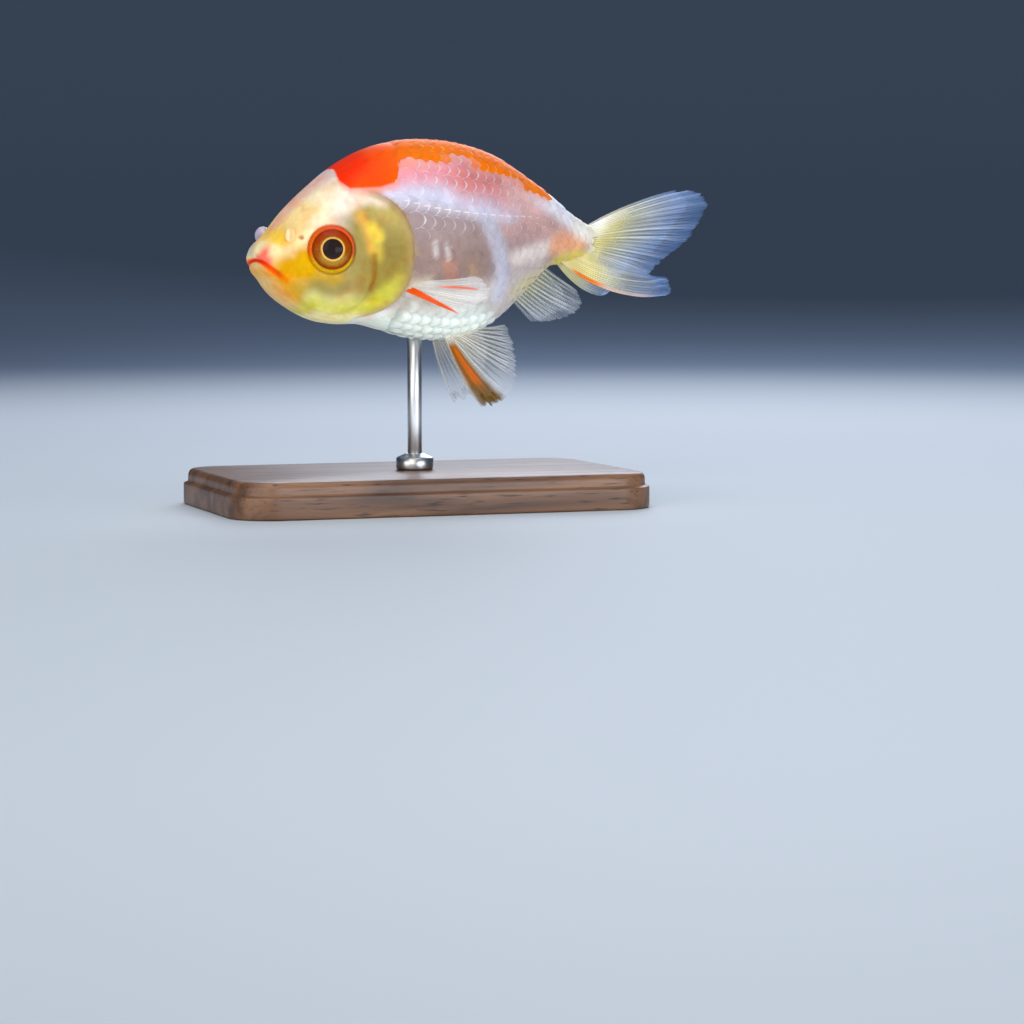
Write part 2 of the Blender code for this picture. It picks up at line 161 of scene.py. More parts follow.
# %% Ribs
# back x, back z, belly x, belly z, half width, share of the height where it is widest, squareness
RIBS = {
    "snout": (1.0, 0.2, 1.0, 0.2, 0.0, 0.50, 2.0),
    "lips": (1.2, 2.0, 1.3, -1.5, 2.6, 0.50, 2.2),
    "nostril": (3.4, 4.0, 2.7, -4.1, 4.4, 0.46, 2.3),
    "brow": (6.2, 7.2, 5.1, -6.2, 6.1, 0.44, 2.4),
    "eye": (9.7, 10.4, 8.4, -7.8, 7.7, 0.44, 2.4),
    "cheek": (13.0, 13.0, 12.4, -8.6, 8.9, 0.44, 2.4),
    "nape": (16.9, 15.2, 16.4, -8.7, 9.7, 0.45, 2.3),
    "shoulder": (21.3, 16.5, 20.9, -9.9, 10.2, 0.46, 2.2),
    "crown": (26.0, 16.85, 25.6, -10.7, 10.4, 0.46, 2.1),
    "belly": (31.0, 16.35, 30.6, -10.5, 9.8, 0.46, 2.1),
    "vent": (35.8, 14.85, 35.8, -8.4, 8.0, 0.46, 2.1),
    "rump": (40.2, 12.35, 40.2, -4.7, 5.7, 0.47, 2.0),
    "stalk": (44.4, 9.5, 44.2, -0.9, 3.9, 0.49, 2.0),
    "stalk_end": (47.6, 6.9, 47.3, -0.4, 2.8, 0.50, 2.0),
    "tail_root": (50.4, 5.1, 49.9, 0.1, 2.0, 0.50, 2.0),
}
TAIL_ROOT = len(RIBS) - 1


def through(rows, at):
    """A Catmull-Rom curve: a cubic between two rows, whose slope at a row is half the step from the row
    before it to the row after. The first and last rows are guides, and row number 0 is the second."""
    rows, at = np.asarray(rows, float), np.asarray(at, float)
    i = np.clip(np.floor(at).astype(int), 0, len(rows) - 4)
    t = (at - i)[..., None]
    a, b, c, d = rows[i], rows[i + 1], rows[i + 2], rows[i + 3]
    return b + 0.5 * t * (c - a + t * (2 * a - 5 * b + 4 * c - d + t * (3 * (b - c) + d - a)))


def with_guides(rows):
    """Rows with a guide at each end, in line with the last two."""
    rows = np.asarray(rows, float)
    return np.vstack([2 * rows[0] - rows[1], rows, 2 * rows[-1] - rows[-2]])


def smooth_line(rows, count):
    """So many points on the smooth line through the rows."""
    return through(with_guides(rows), np.linspace(0, len(rows) - 1, count))


back_x, back_z, belly_x, belly_z, half_width, waist, square = RIBS["lips"]
rib_rows = with_guides(list(RIBS.values()))
rib_rows[0] = (belly_x, belly_z, back_x, back_z, -half_width, waist, square)  # turned over: a round snout
print("ribs:", len(RIBS))


def section(u, angle):
    """The waist plus the height times cos(angle)^(2 / squareness), and the half width times
    sin(angle)^(2 / squareness). An angle of 0 is the back and pi the belly, by the left side."""
    rib = through(rib_rows, u)
    back, belly, power = rib[..., 0:2], rib[..., 2:4], 2.0 / rib[..., 6]
    middle = belly + rib[..., 5:6] * (back - belly)
    up, out = np.cos(angle), np.sin(angle)
    height = np.where(up[..., None] > 0, back - middle, belly - middle)
    middle = middle + height * (np.abs(up) ** power)[..., None]
    return np.stack([middle[..., 0], -rib[..., 4] * np.abs(out) ** power, middle[..., 1]], axis=-1)


# %% An even pace round each section
TABLE_U = np.linspace(0.0, TAIL_ROOT, 561)
TABLE_S = np.linspace(0.0, 1.0, 241)
fine_angles = np.linspace(0.0, math.pi, 1201)
outlines = section(TABLE_U[:, None], fine_angles[None, :])
walked = np.cumsum(np.linalg.norm(np.diff(outlines, axis=1), axis=-1), axis=1)
walked = np.concatenate([np.zeros((len(TABLE_U), 1)), walked], axis=1)
HALF_GIRTH = walked[:, -1]  # mm from the back down one side to the belly, for each of TABLE_U
walked[0], HALF_GIRTH[0] = walked[1], walked[1, -1]  # the snout is a point, so it borrows its neighbour's
angle_table = np.array([np.interp(TABLE_S, w / w[-1], fine_angles) for w in walked])
print("stations in the table:", len(TABLE_U))


def looked_up(table, u, s):
    """Straight-line values between the table's rows and columns."""
    row = np.clip(u / TAIL_ROOT, 0, 1) * (len(TABLE_U) - 1)
    column = np.clip(s, 0, 1) * (len(TABLE_S) - 1)
    i, j = np.minimum(row.astype(int), len(TABLE_U) - 2), np.minimum(column.astype(int), len(TABLE_S) - 2)
    p, q = row - i, column - j
    this_row = table[i, j] * (1 - q) + table[i, j + 1] * q
    return this_row * (1 - p) + (table[i + 1, j] * (1 - q) + table[i + 1, j + 1] * q) * p


def body(u, s):
    """The body's point at station u and s of the way round it. The right side mirrors the left."""
    u, s = np.broadcast_arrays(np.asarray(u, float), np.mod(np.asarray(s, float), 2.0))
    point = section(u, looked_up(angle_table, u, np.minimum(s, 2.0 - s)))
    point[..., 1] *= np.where(s <= 1, 1.0, -1.0)
    return point


def body_normal(u, s):
    """The unit cross product of a small step round the body and a small step along it."""
    around = body(u, s + 0.004) - body(u, s - 0.004)
    along = body(np.minimum(u + 0.03, TAIL_ROOT), s) - body(np.maximum(u - 0.03, 0.0), s)
    normal = np.cross(around, along)
    return normal / np.maximum(np.linalg.norm(normal, axis=-1, keepdims=True), 1e-9)


print("girth at the crown, mm:", round(2 * float(np.interp(8, TABLE_U, HALF_GIRTH)), 1))

# %% [markdown]
# The fish looks a little to its left. In front of the neck its midline is an arc, and one function bends
# any point that way and lifts it over the stand. It is the same as in the solids.

# %% Pose
HEAD_TURN = math.radians(10.0)
NECK_X = 21.0
ROD_X = 24.6
MOUTH_HEIGHT = 34.0
ARC_RADIUS = NECK_X / HEAD_TURN


def head_turn(x):
    """How far the midline has turned at x, in radians: the way in front of the neck over the arc's radius."""
    return np.maximum(NECK_X - x, 0.0) / ARC_RADIUS


def swim(points):
    """x in front of the neck becomes an arc, y is measured across it, and z starts at the mouth's height.
    The result is in metres."""
    x, y, z = np.moveaxis(np.asarray(points, float), -1, 0)
    turn = head_turn(x)
    bent_x = np.where(x < NECK_X, NECK_X - ARC_RADIUS * np.sin(turn), x) - y * np.sin(turn)
    bent_y = y * np.cos(turn) - ARC_RADIUS * (1 - np.cos(turn))
    return np.stack([bent_x - ROD_X, bent_y, z + MOUTH_HEIGHT], axis=-1) * MM


snout = swim(body(0.0, 0.0))

# %% [markdown]
# ## Relief
# The head is bare skin over bone, and its forms are what makes it a goldfish: the arched mouth with its
# lips, the folds round the nostrils, the dish that the eye sits in, the ridge of the cheek bone, the round
# lobe of the cheek, and the free edge of the gill cover. Each is a function of the distance to a line drawn
# on the side of the head, and their sum lifts the skin along its normal. Sculpting by hand would look the
# same, but nobody could read or change it later.


# %% Lines on the side of the fish
def curve(*marks):
    """A smooth line through (x, z) marks on the side of the fish, six points to each step."""
    return smooth_line(marks, 6 * (len(marks) - 1) + 1)


def near(x, z, line):
    """Seen from the side: the distance in mm to a line of straight pieces, and how far along it, from 0 to
    1, its nearest point lies."""
    if len(line) == 1:
        return np.hypot(x - line[0][0], z - line[0][1]), np.zeros(np.shape(x))
    best, share = np.full(np.shape(x), np.inf), np.zeros(np.shape(x))
    for k, (a, b) in enumerate(zip(line[:-1], line[1:])):
        step = b - a
        t = np.clip(((x - a[0]) * step[0] + (z - a[1]) * step[1]) / (step @ step), 0, 1)
        far = np.hypot(x - a[0] - t * step[0], z - a[1] - t * step[1])
        share = np.where(far < best, (k + t) / (len(line) - 1), share)
        best = np.minimum(best, far)
    return best, share


MOUTH = curve(  # mm walked round the snout, and height
    (-0.8, 0.02), (0.0, 0.12), (0.6, 0.08), (2.06, -0.20), (3.36, -0.87), (4.67, -1.67), (5.89, -2.68)
)
MOUTH_PULL = 0.5  # mm that the closed mouth is pulled to the left, as the fish turns that way
NOSTRIL = (5.75, 3.2)
CHEEK_BONE = curve((12.2, 8.2), (13.3, 7.1), (14.6, 4.2), (15.0, 1.5), (14.9, -1.9), (14.4, -3.6))
CHEEK_LOBE = curve(
    (5.3, -3.4), (6.0, -4.9), (8.0, -6.1), (10.4, -6.5), (12.6, -5.9), (14.3, -4.2), (14.9, -2.4)
)
CHIN = curve((2.0, -3.4), (3.6, -5.4), (6.2, -7.1), (9.6, -8.4))
GILL_CENTRE = (12.5, 0.9)
GILL_REACH, GILL_HALF_HEIGHT, GILL_SQUARENESS = 8.8, 8.6, 2.4


def round_snout(points):
    """Millimetres walked round the snout from the middle of the mouth, by a straight rule that fits this
    outline: 0.96 across and 0.51 back."""
    x, y, _ = np.moveaxis(points, -1, 0)
    walked = np.sign(y) * (0.96 * np.abs(y) + 0.51 * (x - 1.0))
    return np.abs(walked + MOUTH_PULL * smooth(5.5, 1.5, np.abs(walked)))


def past_gill_rim(x, z):
    """Millimetres outside the gill cover's rim, which is a superellipse, and negative on the cover."""
    across = np.abs(x - GILL_CENTRE[0]) / GILL_REACH
    up = np.abs(z - GILL_CENTRE[1]) / GILL_HALF_HEIGHT
    return ((across**GILL_SQUARENESS + up**GILL_SQUARENESS) ** (1 / GILL_SQUARENESS) - 1) * GILL_REACH


print("mouth, mm round the snout on the left:", MOUTH[-1, 0].round(1))

# %% The eye's place
EYE_CENTRE = np.array((9.9, -6.6, 1.5))
EYE_FORWARD, EYE_UP = math.radians(16.0), math.radians(3.0)
EYE_AXIS = np.array(
    (-math.sin(EYE_FORWARD) * math.cos(EYE_UP), -math.cos(EYE_FORWARD) * math.cos(EYE_UP), math.sin(EYE_UP))
)


def from_eye_axis(points):
    """Distance from the line through the eye's middle, on whichever side a point lies."""
    x, y, z = np.moveaxis(points, -1, 0)
    offset = np.stack([x, -np.abs(y), z], axis=-1) - EYE_CENTRE
    return np.linalg.norm(offset - (offset @ EYE_AXIS)[..., None] * EYE_AXIS, axis=-1)


# %% Where scales begin, and the skin's relief
SCALES_FROM = np.array(  # z, and the x behind which there are scales at that height
    [(-11, 20.0), (-8, 19.2), (-6.5, 19.4), (-4, 20.6), (0.9, 21.6), (5, 20.7), (8, 19.0), (9.6, 18.4),
     (11, 18.8), (13, 20.0), (17, 20.6)], float
)
SCALES_TAKE = 0.14  # mm that the skin lies deeper under the scales


def scaled(x, z):
    """1 where scales cover the skin, 0 where it is bare."""
    return smooth(-0.5, 0.7, x - np.interp(z, SCALES_FROM[:, 0], SCALES_FROM[:, 1]))


def relief(points):
    """Millimetres to lift the skin. Lips, bones and rings are bells beside a line, creases are negative bells
    on it, and the eye's dish and the gill cover are steps that fall at their rims."""
    x, _, z = np.moveaxis(points, -1, 0)
    to_mouth, along = near(round_snout(points), z, MOUTH)
    at_front = 1 - 0.8 * smooth(0.55, 1.0, along)
    lift = at_front * (0.12 * bell(to_mouth - 0.8, 0.5) - 0.24 * bell(to_mouth, 0.26))  # lips, and their line
    lift -= 0.40 * bell(near(x, z, np.array([NOSTRIL]))[0], 0.28)
    lift -= 0.55 * bell(near(x, z, CHIN)[0], 2.0) * smooth(11.0, 4.5, x)  # a flat chin
    from_eye = from_eye_axis(points)
    lift += 0.16 * bell(from_eye - 4.1, 0.7) - 0.85 * smooth(3.5, 3.12, from_eye)  # its ring, and its dish
    lift += 0.22 * bell(near(x, z, CHEEK_BONE)[0], 0.8)
    lift -= 0.16 * smooth(3.0, -1.0, z) * bell(near(x, z, CHEEK_BONE + (1.0, 0.0))[0], 0.35)  # crease behind
    lift += 0.2 * bell(near(x, z, CHEEK_LOBE)[0] - 0.1, 0.8)
    lift -= 0.12 * bell(near(x, z, CHEEK_LOBE + (0.25, -1.0))[0], 0.5)  # crease below
    past = past_gill_rim(x, z)
    thick_edge = 0.22 * smooth(-2.2, -0.5, past) * smooth(0.22, -0.02, past)
    lift += smooth(13.4, 16.2, x) * (thick_edge - 0.24 * bell(past - 0.26, 0.32))  # the cover's edge and slit
    return lift - SCALES_TAKE * scaled(x, z)


print("relief at the nostril, mm:", relief(np.array([(NOSTRIL[0], -5.5, NOSTRIL[1])])).round(2))

# %% [markdown]
# ## Paint
# Under its clear outer skin a goldfish has red and yellow pigment cells and, below them, plates of guanine
# that shine like mother of pearl. Where the plates are missing the flesh shows through pink. A painter gets
# the same with thin glazes over a pearly ground, and so does this function: each glaze is a soft brush mark
# along a line on the side of the fish, laid over what is there. Skin and scales ask the same function, so a
# marking runs on from one to the other without a step.
# A few marks stand for light: painted highlights on the head, flank and stalk, and painted shade in hollows.

# %% The brush
def lay(paint, cover, hex_colour):
    """Moves each colour towards the glaze by the share that covers it."""
    return paint + cover[..., None] * (linear(hex_colour) - paint)


def brush(x, z, marks, width, soft):
    """1 near the line through the marks, and 0 beyond it, falling over soft times the width each way."""
    line = curve(*marks) if len(marks) > 1 else np.array(marks, float)
    return smooth(width * (1 + soft), width * (1 - soft), near(x, z, line)[0])


def glaze(paint, glazes, x, z, seen=1.0):
    """Lays brush marks over the paint, one after another. Each covers its strength, times the brush's own
    cover, times the share that is seen."""
    for colour, strength, width, soft, marks in glazes:
        paint = lay(paint, strength * brush(x, z, marks, width, soft) * seen, colour)
    return paint


print("cover at the edge of a stroke:", brush(1.0, 0.0, ((0, 0), (0, 1)), 1.0, 0.5))

# %% The palette
# colour, strength, half width, softness, marks along the middle of the stroke
BODY_GLAZES = (
    ("#967E78", 0.9, 7.0, 0.5, ((20, 2), (30, 2), (40, 4), (50, 3))),  # flank: mauve over flesh
    ("#896E5E", 0.8, 3.6, 0.8, ((23.0, -0.6), (30, 0.6))),  # the gut shows brown through the belly wall
    ("#C07A52", 0.55, 0.9, 0.9, ((26.2, -0.4), (26.8, -2.0))),
    ("#A8845C", 0.55, 0.9, 0.9, ((29.6, -0.6), (30.4, -2.2))),
    ("#C8B88E", 0.7, 0.8, 0.9, ((21.8, -3.4), (23.4, -3.0))),
    ("#BDB2A2", 0.9, 2.2, 0.7, ((22.0, -5.3), (28.0, -5.8), (33.0, -5.0))),  # under the pectoral fin
    ("#C2968C", 0.9, 3.0, 0.8, ((35.5, 5.4), (40, 5.6), (44, 4.4))),  # salmon flesh of the stalk
    ("#E8F4E6", 1.0, 3.6, 0.45, ((14, -11.5), (20, -10.6), (27, -11.0), (34, -10.0))),  # mint belly
    ("#A8957C", 0.5, 0.9, 0.95, ((19.6, -6.7), (20.6, -6.3))),  # painted shade among the first pearls
    ("#C4B6AC", 0.9, 2.4, 0.7, ((35.6, -5.6), (38.0, -3.6), (41.0, -1.6))),
    ("#CDC28C", 0.7, 1.0, 0.9, ((37.8, -4.4), (39.8, -2.8))),
    # a vertical band of silvery sheen down the flank, painted as a highlight
    ("#C4C4D2", 0.8, 1.2, 0.9, ((31.5, 7.0), (33.6, 2.8), (34.8, -1.3), (34.4, -4.6))),  # painted highlight
    ("#D9D4E8", 0.95, 1.9, 0.7, ((16.0, 10.0), (20.0, 9.6), (26, 8.9), (31, 8.1), (36, 7.4))),  # lilac band
    ("#FB97A1", 0.95, 1.9, 0.8, ((19.5, 12.2), (24, 12.4), (30, 12.1))),  # rose above it
    ("#DE7C74", 0.95, 2.5, 0.9, ((29.5, 11.2), (33, 10.8), (35.5, 9.9))),  # salmon red behind
    ("#ECB4AC", 0.9, 2.3, 0.9, ((37.5, 9.2), (40.5, 8.0))),
    ("#EFE9E4", 0.45, 0.34, 0.9, ((24.2, 2.4), (24.4, 0.7))),  # silver flecks on the flank
    ("#EFE9E4", 0.45, 0.34, 0.9, ((25.8, 2.0), (26.2, 0.4))),
    ("#F0DDD2", 0.85, 1.1, 0.8, ((37.0, 0.4), (40.5, 1.2), (43.5, 2.2))),  # painted highlight under the stalk
    ("#F4F2F8", 1.0, 1.8, 0.7, ((42.0, 9.6), (45.5, 7.6), (49.0, 5.2))),  # painted highlight along the top of the stalk
    ("#E39A6C", 0.95, 1.7, 0.7, ((44.8, 2.2), (48.0, 2.6))),  # peach before the tail
    ("#D6C688", 0.7, 1.1, 0.8, ((40.6, -3.4), (43.4, -1.5), (46.0, -0.4))),  # keel behind the anal fin
    ("#FAF4E4", 0.95, 1.5, 0.8, ((48.6, 4.8), (50.2, 4.2))),
    ("#EFE6C8", 0.95, 1.6, 0.6, ((50.9, -0.5), (51.6, 2.0), (51.8, 4.6))),  # between the tail's two halves
    ("#D4BF46", 0.95, 1.3, 0.7, ((45.6, -0.4), (48.4, 0.4))),  # yellow at the tail's root
)
HEAD_GLAZES = (
    ("#F4E4B4", 1.0, 9.0, 0.25, ((3, 1), (9, 1.5), (13.2, 1.0))),  # cream skin over bone
    ("#E7A43A", 1.0, 2.3, 0.8, ((2.2, -2.4), (3.6, -3.7), (5.4, -4.8))),  # peach lower jaw
    ("#E3C58A", 0.95, 1.4, 0.8, ((1.2, -3.6), (2.8, -5.8), (6.0, -8.0), (10, -9.6))),  # its pale edge
    ("#FFEFCB", 0.9, 2.0, 0.7, ((12.4, 8.8), (9.6, 7.8), (7.0, 5.9))),  # cream forehead, with a painted highlight
    ("#F9D68C", 0.85, 1.4, 0.8, ((7.4, 6.6), (5.4, 5.0), (3.8, 3.6))),
    ("#F8CC48", 0.9, 1.0, 0.8, ((3.2, 2.8), (3.9, 3.4))),  # yellow spot on the snout
    ("#FCE6AC", 0.85, 0.55, 0.8, ((2.7, 1.75), (3.5, 1.35), (4.5, 1.25), (5.7, 1.7))),  # painted highlight on the lip's fold
    ("#C27838", 0.8, 0.30, 0.7, (NOSTRIL,)),
    ("#D69800", 1.0, 1.7, 0.7, ((4.3, -0.9), (5.4, -0.9), (6.1, 0.2))),  # gold before the eye
    ("#D6A300", 0.95, 1.35, 0.8, ((5.9, -0.6), (7.2, -2.0), (9.4, -2.7), (11.2, -2.4))),
    ("#F09A2C", 0.7, 0.7, 0.9, ((3.8, -2.3), (4.4, -2.8))),  # orange flush at the mouth's corner
    ("#C4A03C", 0.8, 1.3, 0.9, ((5.4, -3.4), (6.8, -4.2))),
    ("#8E8048", 0.9, 1.6, 0.9, ((7.8, -3.7), (10.4, -4.1), (12.6, -2.6))),  # olive below the eye
    ("#C8C47C", 0.9, 1.1, 0.8, ((7.2, -5.0), (8.6, -5.7), (10.4, -5.9), (12.4, -5.4), (13.8, -4.0))),  # lobe
    ("#BAA78C", 0.9, 1.5, 0.9, ((12.9, 4.6), (13.8, 1.5), (13.7, -2.2))),  # grey green behind the eye
    ("#CCBAAE", 0.9, 1.1, 0.9, ((10.8, 5.9), (12.2, 5.3), (12.9, 4.2))),  # lilac grey brow
    ("#FFEFD4", 0.5, 0.8, 0.8, ((7.8, 5.4), (9.4, 6.2), (11.4, 7.2))),
    ("#FFECDA", 0.95, 1.5, 0.8, ((11.8, 7.8), (13.0, 8.4))),
    ("#F49C78", 0.7, 0.55, 0.9, ((12.5, 7.9), (13.2, 7.7))),
)
GILL_GLAZES = (
    ("#9C8C4E", 1.0, 5.6, 0.3, ((17.0, 3.2), (16.8, -0.8))),  # olive: dark gills under a thin plate
    ("#BCA864", 0.9, 2.3, 0.9, ((16.6, 7.2), (19.0, 4.8))),
    ("#86743A", 0.7, 2.2, 0.95, ((18.0, 2.4), (17.8, -0.6))),
    ("#948238", 0.7, 1.8, 0.95, ((16.6, -2.6), (18.4, -2.4))),
    # the yellow border
    ("#C7C340", 0.9, 1.3, 0.95, ((7.6, -6.6), (10.0, -7.3), (13.6, -6.8), (15.9, -6.0), (17.8, -4.6))),
    ("#BEB44C", 0.7, 1.0, 0.95, ((17.8, -4.6), (19.3, -2.6))),
    ("#FFEEDC", 0.95, 1.2, 0.8, ((12.6, 8.6), (15.4, 9.0), (16.8, 8.6))),  # pink cream above the cheek
    ("#E2AC54", 0.8, 0.8, 0.9, ((13.6, 6.0), (14.7, 3.8), (15.2, 1.6))),  # orange streak
    ("#F0DA58", 0.85, 0.8, 0.95, ((15.2, 4.4), (16.0, 3.4))),
    ("#D8C04C", 0.6, 0.8, 0.95, ((15.6, 2.6), (15.9, 0.8))),
    ("#96651E", 0.75, 0.50, 0.95, ((15.3, 0.6), (15.4, -1.6), (15.2, -3.6))),  # painted shadow in the groove
    ("#F2E2C6", 0.9, 1.1, 0.7, ((9.0, -8.6), (12.4, -9.1), (15.6, -8.8))),  # throat
    ("#F0E6A6", 0.9, 0.9, 0.8, ((8.6, -7.4), (11.6, -8.0), (14.4, -7.9))),
)
# mm round the snout, and height, along the middle of the stroke
LIP_GLAZES = (
    ("#FF6E62", 0.95, 0.85, 0.9, ((2.5, 1.05), (2.4, 0.55), (3.1, -0.1))),  # rosy upper lip
    ("#FF7A6A", 0.9, 0.42, 0.8, ((1.1, 0.45), (1.8, 0.42), (2.4, 0.45))),
)
ORANGE_EDGE = np.array(  # x, and the z above which the back is orange
    [(11.0, 13.0), (11.6, 10.9), (12.8, 9.8), (16.9, 10.0), (18.6, 10.5), (19.8, 11.0), (20.2, 13.4),
     (26.0, 13.4), (26.7, 14.5), (30.0, 14.6), (30.3, 13.2), (33.6, 12.8), (38.7, 10.8), (41.1, 9.3),
     (43.4, 8.8), (44.2, 12.0)]
)
print("glazes:", len(BODY_GLAZES), "on the body,", len(HEAD_GLAZES + GILL_GLAZES + LIP_GLAZES), "on the head")


# %% All the paint at once
def above_edge(x, z):
    """How far z is above the orange patch's lower edge, in mm."""
    return z - np.interp(x, ORANGE_EDGE[:, 0], ORANGE_EDGE[:, 1], left=40.0, right=40.0)


def head_paint(paint, points, past):
    """The head's glazes, the lips, the cover's free rim with its painted shade, and the pink ridge of the brow.
    """
    x, y, z = np.moveaxis(points, -1, 0)
    paint = glaze(glaze(paint, HEAD_GLAZES, x, z), GILL_GLAZES, x, z)
    far_lip = smooth(1.9, 1.3, x) * smooth(0.4, 0.9, z) * smooth(-1.0, 1.0, y)
    paint = lay(paint, far_lip, "#C9CFBC")  # the right half of the upper lip is pale
    walked = round_snout(points)
    paint = glaze(paint, LIP_GLAZES, walked, z, np.maximum(smooth(0.4, -0.6, y), smooth(2.4, 3.0, walked)))
    # the cover's free rim is browned, partly in its own colour and partly as painted shade along its edge
    rim = smooth(13.6, 16.0, x) * smooth(-1.3, -0.4, past)
    paint = lay(paint, rim * (0.55 + 0.2 * smooth(3.0, 7.0, z)), "#A98D66")
    ridge = smooth(0.75, 0.2, np.abs(y) / np.maximum(1.0, 0.6 * x))
    return lay(paint, 0.7 * ridge * smooth(3.5, 5.0, z) * smooth(13.0, 10.0, x), "#F0B6AC")


def orange_paint(points):
    """Redder along the patch's front edge, and yellower from the shoulder back."""
    x, _, z = np.moveaxis(points, -1, 0)
    front = smooth(2.6, 0.6, near(x, z, curve((11.2, 10.6), (12.6, 12.2), (14.6, 14.0)))[0])
    colour = lay(np.broadcast_to(linear("#FF4E00"), points.shape), 0.85 * front, "#FF2A04")
    colour = lay(colour, smooth(16.5, 23.0, x), "#FF7600")
    return lay(colour, smooth(34.0, 42.0, x), "#FF7A00")


def fish_paint(points, orange=None):
    """The glazes in the order that a painter lays them: body, head, the orange of the back with its pink
    margin, and the red line of the mouth last. orange is how much of the back's orange each point has, where
    that is already known."""
    x, y, z = np.moveaxis(points, -1, 0)
    paint = glaze(np.broadcast_to(linear("#DCD2D6"), points.shape).copy(), BODY_GLAZES, x, z)
    past = past_gill_rim(x, z)
    on_head = smooth(0.25, -0.05, past) * smooth(13.0, 14.5, x) + smooth(14.5, 13.0, x)
    on_head = np.where(z > 9.0, np.maximum(on_head, smooth(17.6, 16.2, x)), on_head)
    paint = paint + on_head[..., None] * (head_paint(paint, points, past) - paint)
    peak = 1.3 * smooth(6.5, 0.5, np.abs(y)) * smooth(19.0, 12.0, x)  # mm further back on the ridge
    above = above_edge(x - peak, z)
    paint = lay(paint, 0.75 * smooth(-1.5, -0.1, above), "#FA9C8C")
    back = smooth(-0.25, 0.25, above) if orange is None else orange
    paint = paint + back[..., None] * (orange_paint(points) - paint)
    to_mouth, along = near(round_snout(points), z, MOUTH)
    red = lay(np.broadcast_to(linear("#EE3A1A"), points.shape), smooth(0.4, 0.75, along), "#E65404")
    wide = 0.42 + 0.42 * smooth(0.3, 0.7, along)
    line = (1 - 0.6 * smooth(0.85, 1.0, along)) * smooth(wide, 0.1, to_mouth)
    return paint + line[..., None] * (red - paint)


print("paint on the back, linear:", fish_paint(np.array([(26.0, 0.0, 16.8)])).round(2))

# %% [markdown]
# ## The skin
# One skin runs from the lips to the root of the tail, so no seam shows where the solids are parted. It is a
# grid in u and s, with close rings on the head, where the mouth and the nostrils need them, and wide ones
# under the scales. It lies a little inside the solids there, by the depth that the scales take up.

# %% Make the skin
head_rings = np.linspace(0.03, 6.3, 186)
trunk_rings = np.linspace(6.3, TAIL_ROOT, 100)[1:]
rings_u = np.concatenate([head_rings, trunk_rings])
SKIN_COLUMNS = 320
rings_s = np.arange(SKIN_COLUMNS) * 2.0 / SKIN_COLUMNS
grid_u, grid_s = np.meshgrid(rings_u, rings_s, indexing="ij")
bare = body(grid_u, grid_s)
skin_rings = bare + body_normal(grid_u, grid_s) * relief(bare)[..., None]
stump = skin_rings[-1].mean(0)

print("rings on the head:", len(head_rings), "and behind it:", len(trunk_rings))

# %% The wedge that closes it
# the skin ends in a thin wedge between the tail's two halves, which gets taller as it runs back: its length
# falls with the square of the height, and once more below
WEDGE_RINGS, WEDGE_LENGTH, WEDGE_ROUNDING, SHORTER_BELOW = 14, 2.9, 0.12, 0.5
STUMP_HALF_HEIGHT, WEDGE_GROWTH, SHARE_ABOVE, SHARE_BELOW = 2.5, 2.4, 0.34, 0.62
WEDGE_THINNED = 0.985  # share of the stump's width that is gone at its edge
closing = np.linspace(0, 1, WEDGE_RINGS + 1)[1:, None, None]
out_from = skin_rings[-1] - stump
high = out_from[..., 2:3]
back_to = WEDGE_LENGTH - WEDGE_ROUNDING * high**2 + SHORTER_BELOW * np.minimum(high, 0)
taller = WEDGE_GROWTH * (np.where(high > 0, SHARE_ABOVE, SHARE_BELOW) * (high / STUMP_HALF_HEIGHT))
end = np.concatenate([back_to, np.zeros_like(high), taller], axis=-1)
wedge = skin_rings[-1] + closing * end - closing**0.8 * WEDGE_THINNED * out_from * (0.0, 1.0, 0.0)
points, quads, fans = capped(np.concatenate([skin_rings, wedge]))
quads, fans = turned_out(points, quads, fans)
flat = np.concatenate([bare.reshape(-1, 3), wedge.reshape(-1, 3), bare[0].mean(0)[None], stump[None]])
print("the wedge reaches back to x, mm:", wedge[-1, :, 0].max().round(1))

# %% Its map, its paint and the mesh
BODY_SHARE = 0.99  # of the map's length; the wedge has the rest
layout = np.stack([grid_u / TAIL_ROOT * BODY_SHARE, grid_s / 2.0], axis=-1)
wedge_u = BODY_SHARE + (1 - BODY_SHARE) * closing[..., 0]
wedge_layout = np.stack(np.broadcast_arrays(wedge_u, rings_s / 2.0), axis=-1)
skin_uv = np.concatenate([layout.reshape(-1, 2), wedge_layout.reshape(-1, 2), [(0.0, 0.5), (1.0, 0.5)]])
pearl = 0.25 + 0.75 * scaled(flat[:, 0], flat[:, 2])
skin = add_piece("skin", swim(points), quads, fans, {"paint": fish_paint(flat), "pearl": pearl}, skin_uv)
print("skin:", 2 * len(quads) + len(fans), "triangles")

# %% [markdown]
# ## Scales
# A goldfish's scales stand in rows that follow the lateral line, each row shifted by half a scale from the
# next, like tiles. A scale's front is tucked under the one before it, and its round hind margin lies on the
# next. Copies of one flat scale would cut into so round a body, so each scale is bent to it: its own small
# grid is laid out in millimetres along and round the body, and the body function gives the place.

# %% Where each scale sits
LATERAL_LINE = curve(
    (14.0, 9.4), (21.2, 7.65), (27.2, 6.75), (34.1, 6.25), (39.4, 6.1), (44.9, 4.6), (50.6, 2.7)
)
SCALE_STEP = ((30.0, 1.42), (50.0, 1.1))  # mm along the body from one scale to the next, at two places
ROW_STEP = ((28.0, 2.05), (50.0, 1.35))  # mm from one row to the next
SCALE_LENGTH = 2.3  # times the step along the body
SCALE_HALF_WIDTH = 0.68  # times the step between rows


def between(ends, x):
    """The straight line between two (x, value) pairs, and flat beyond them."""
    return np.interp(x, [ends[0][0], ends[1][0]], [ends[0][1], ends[1][1]])


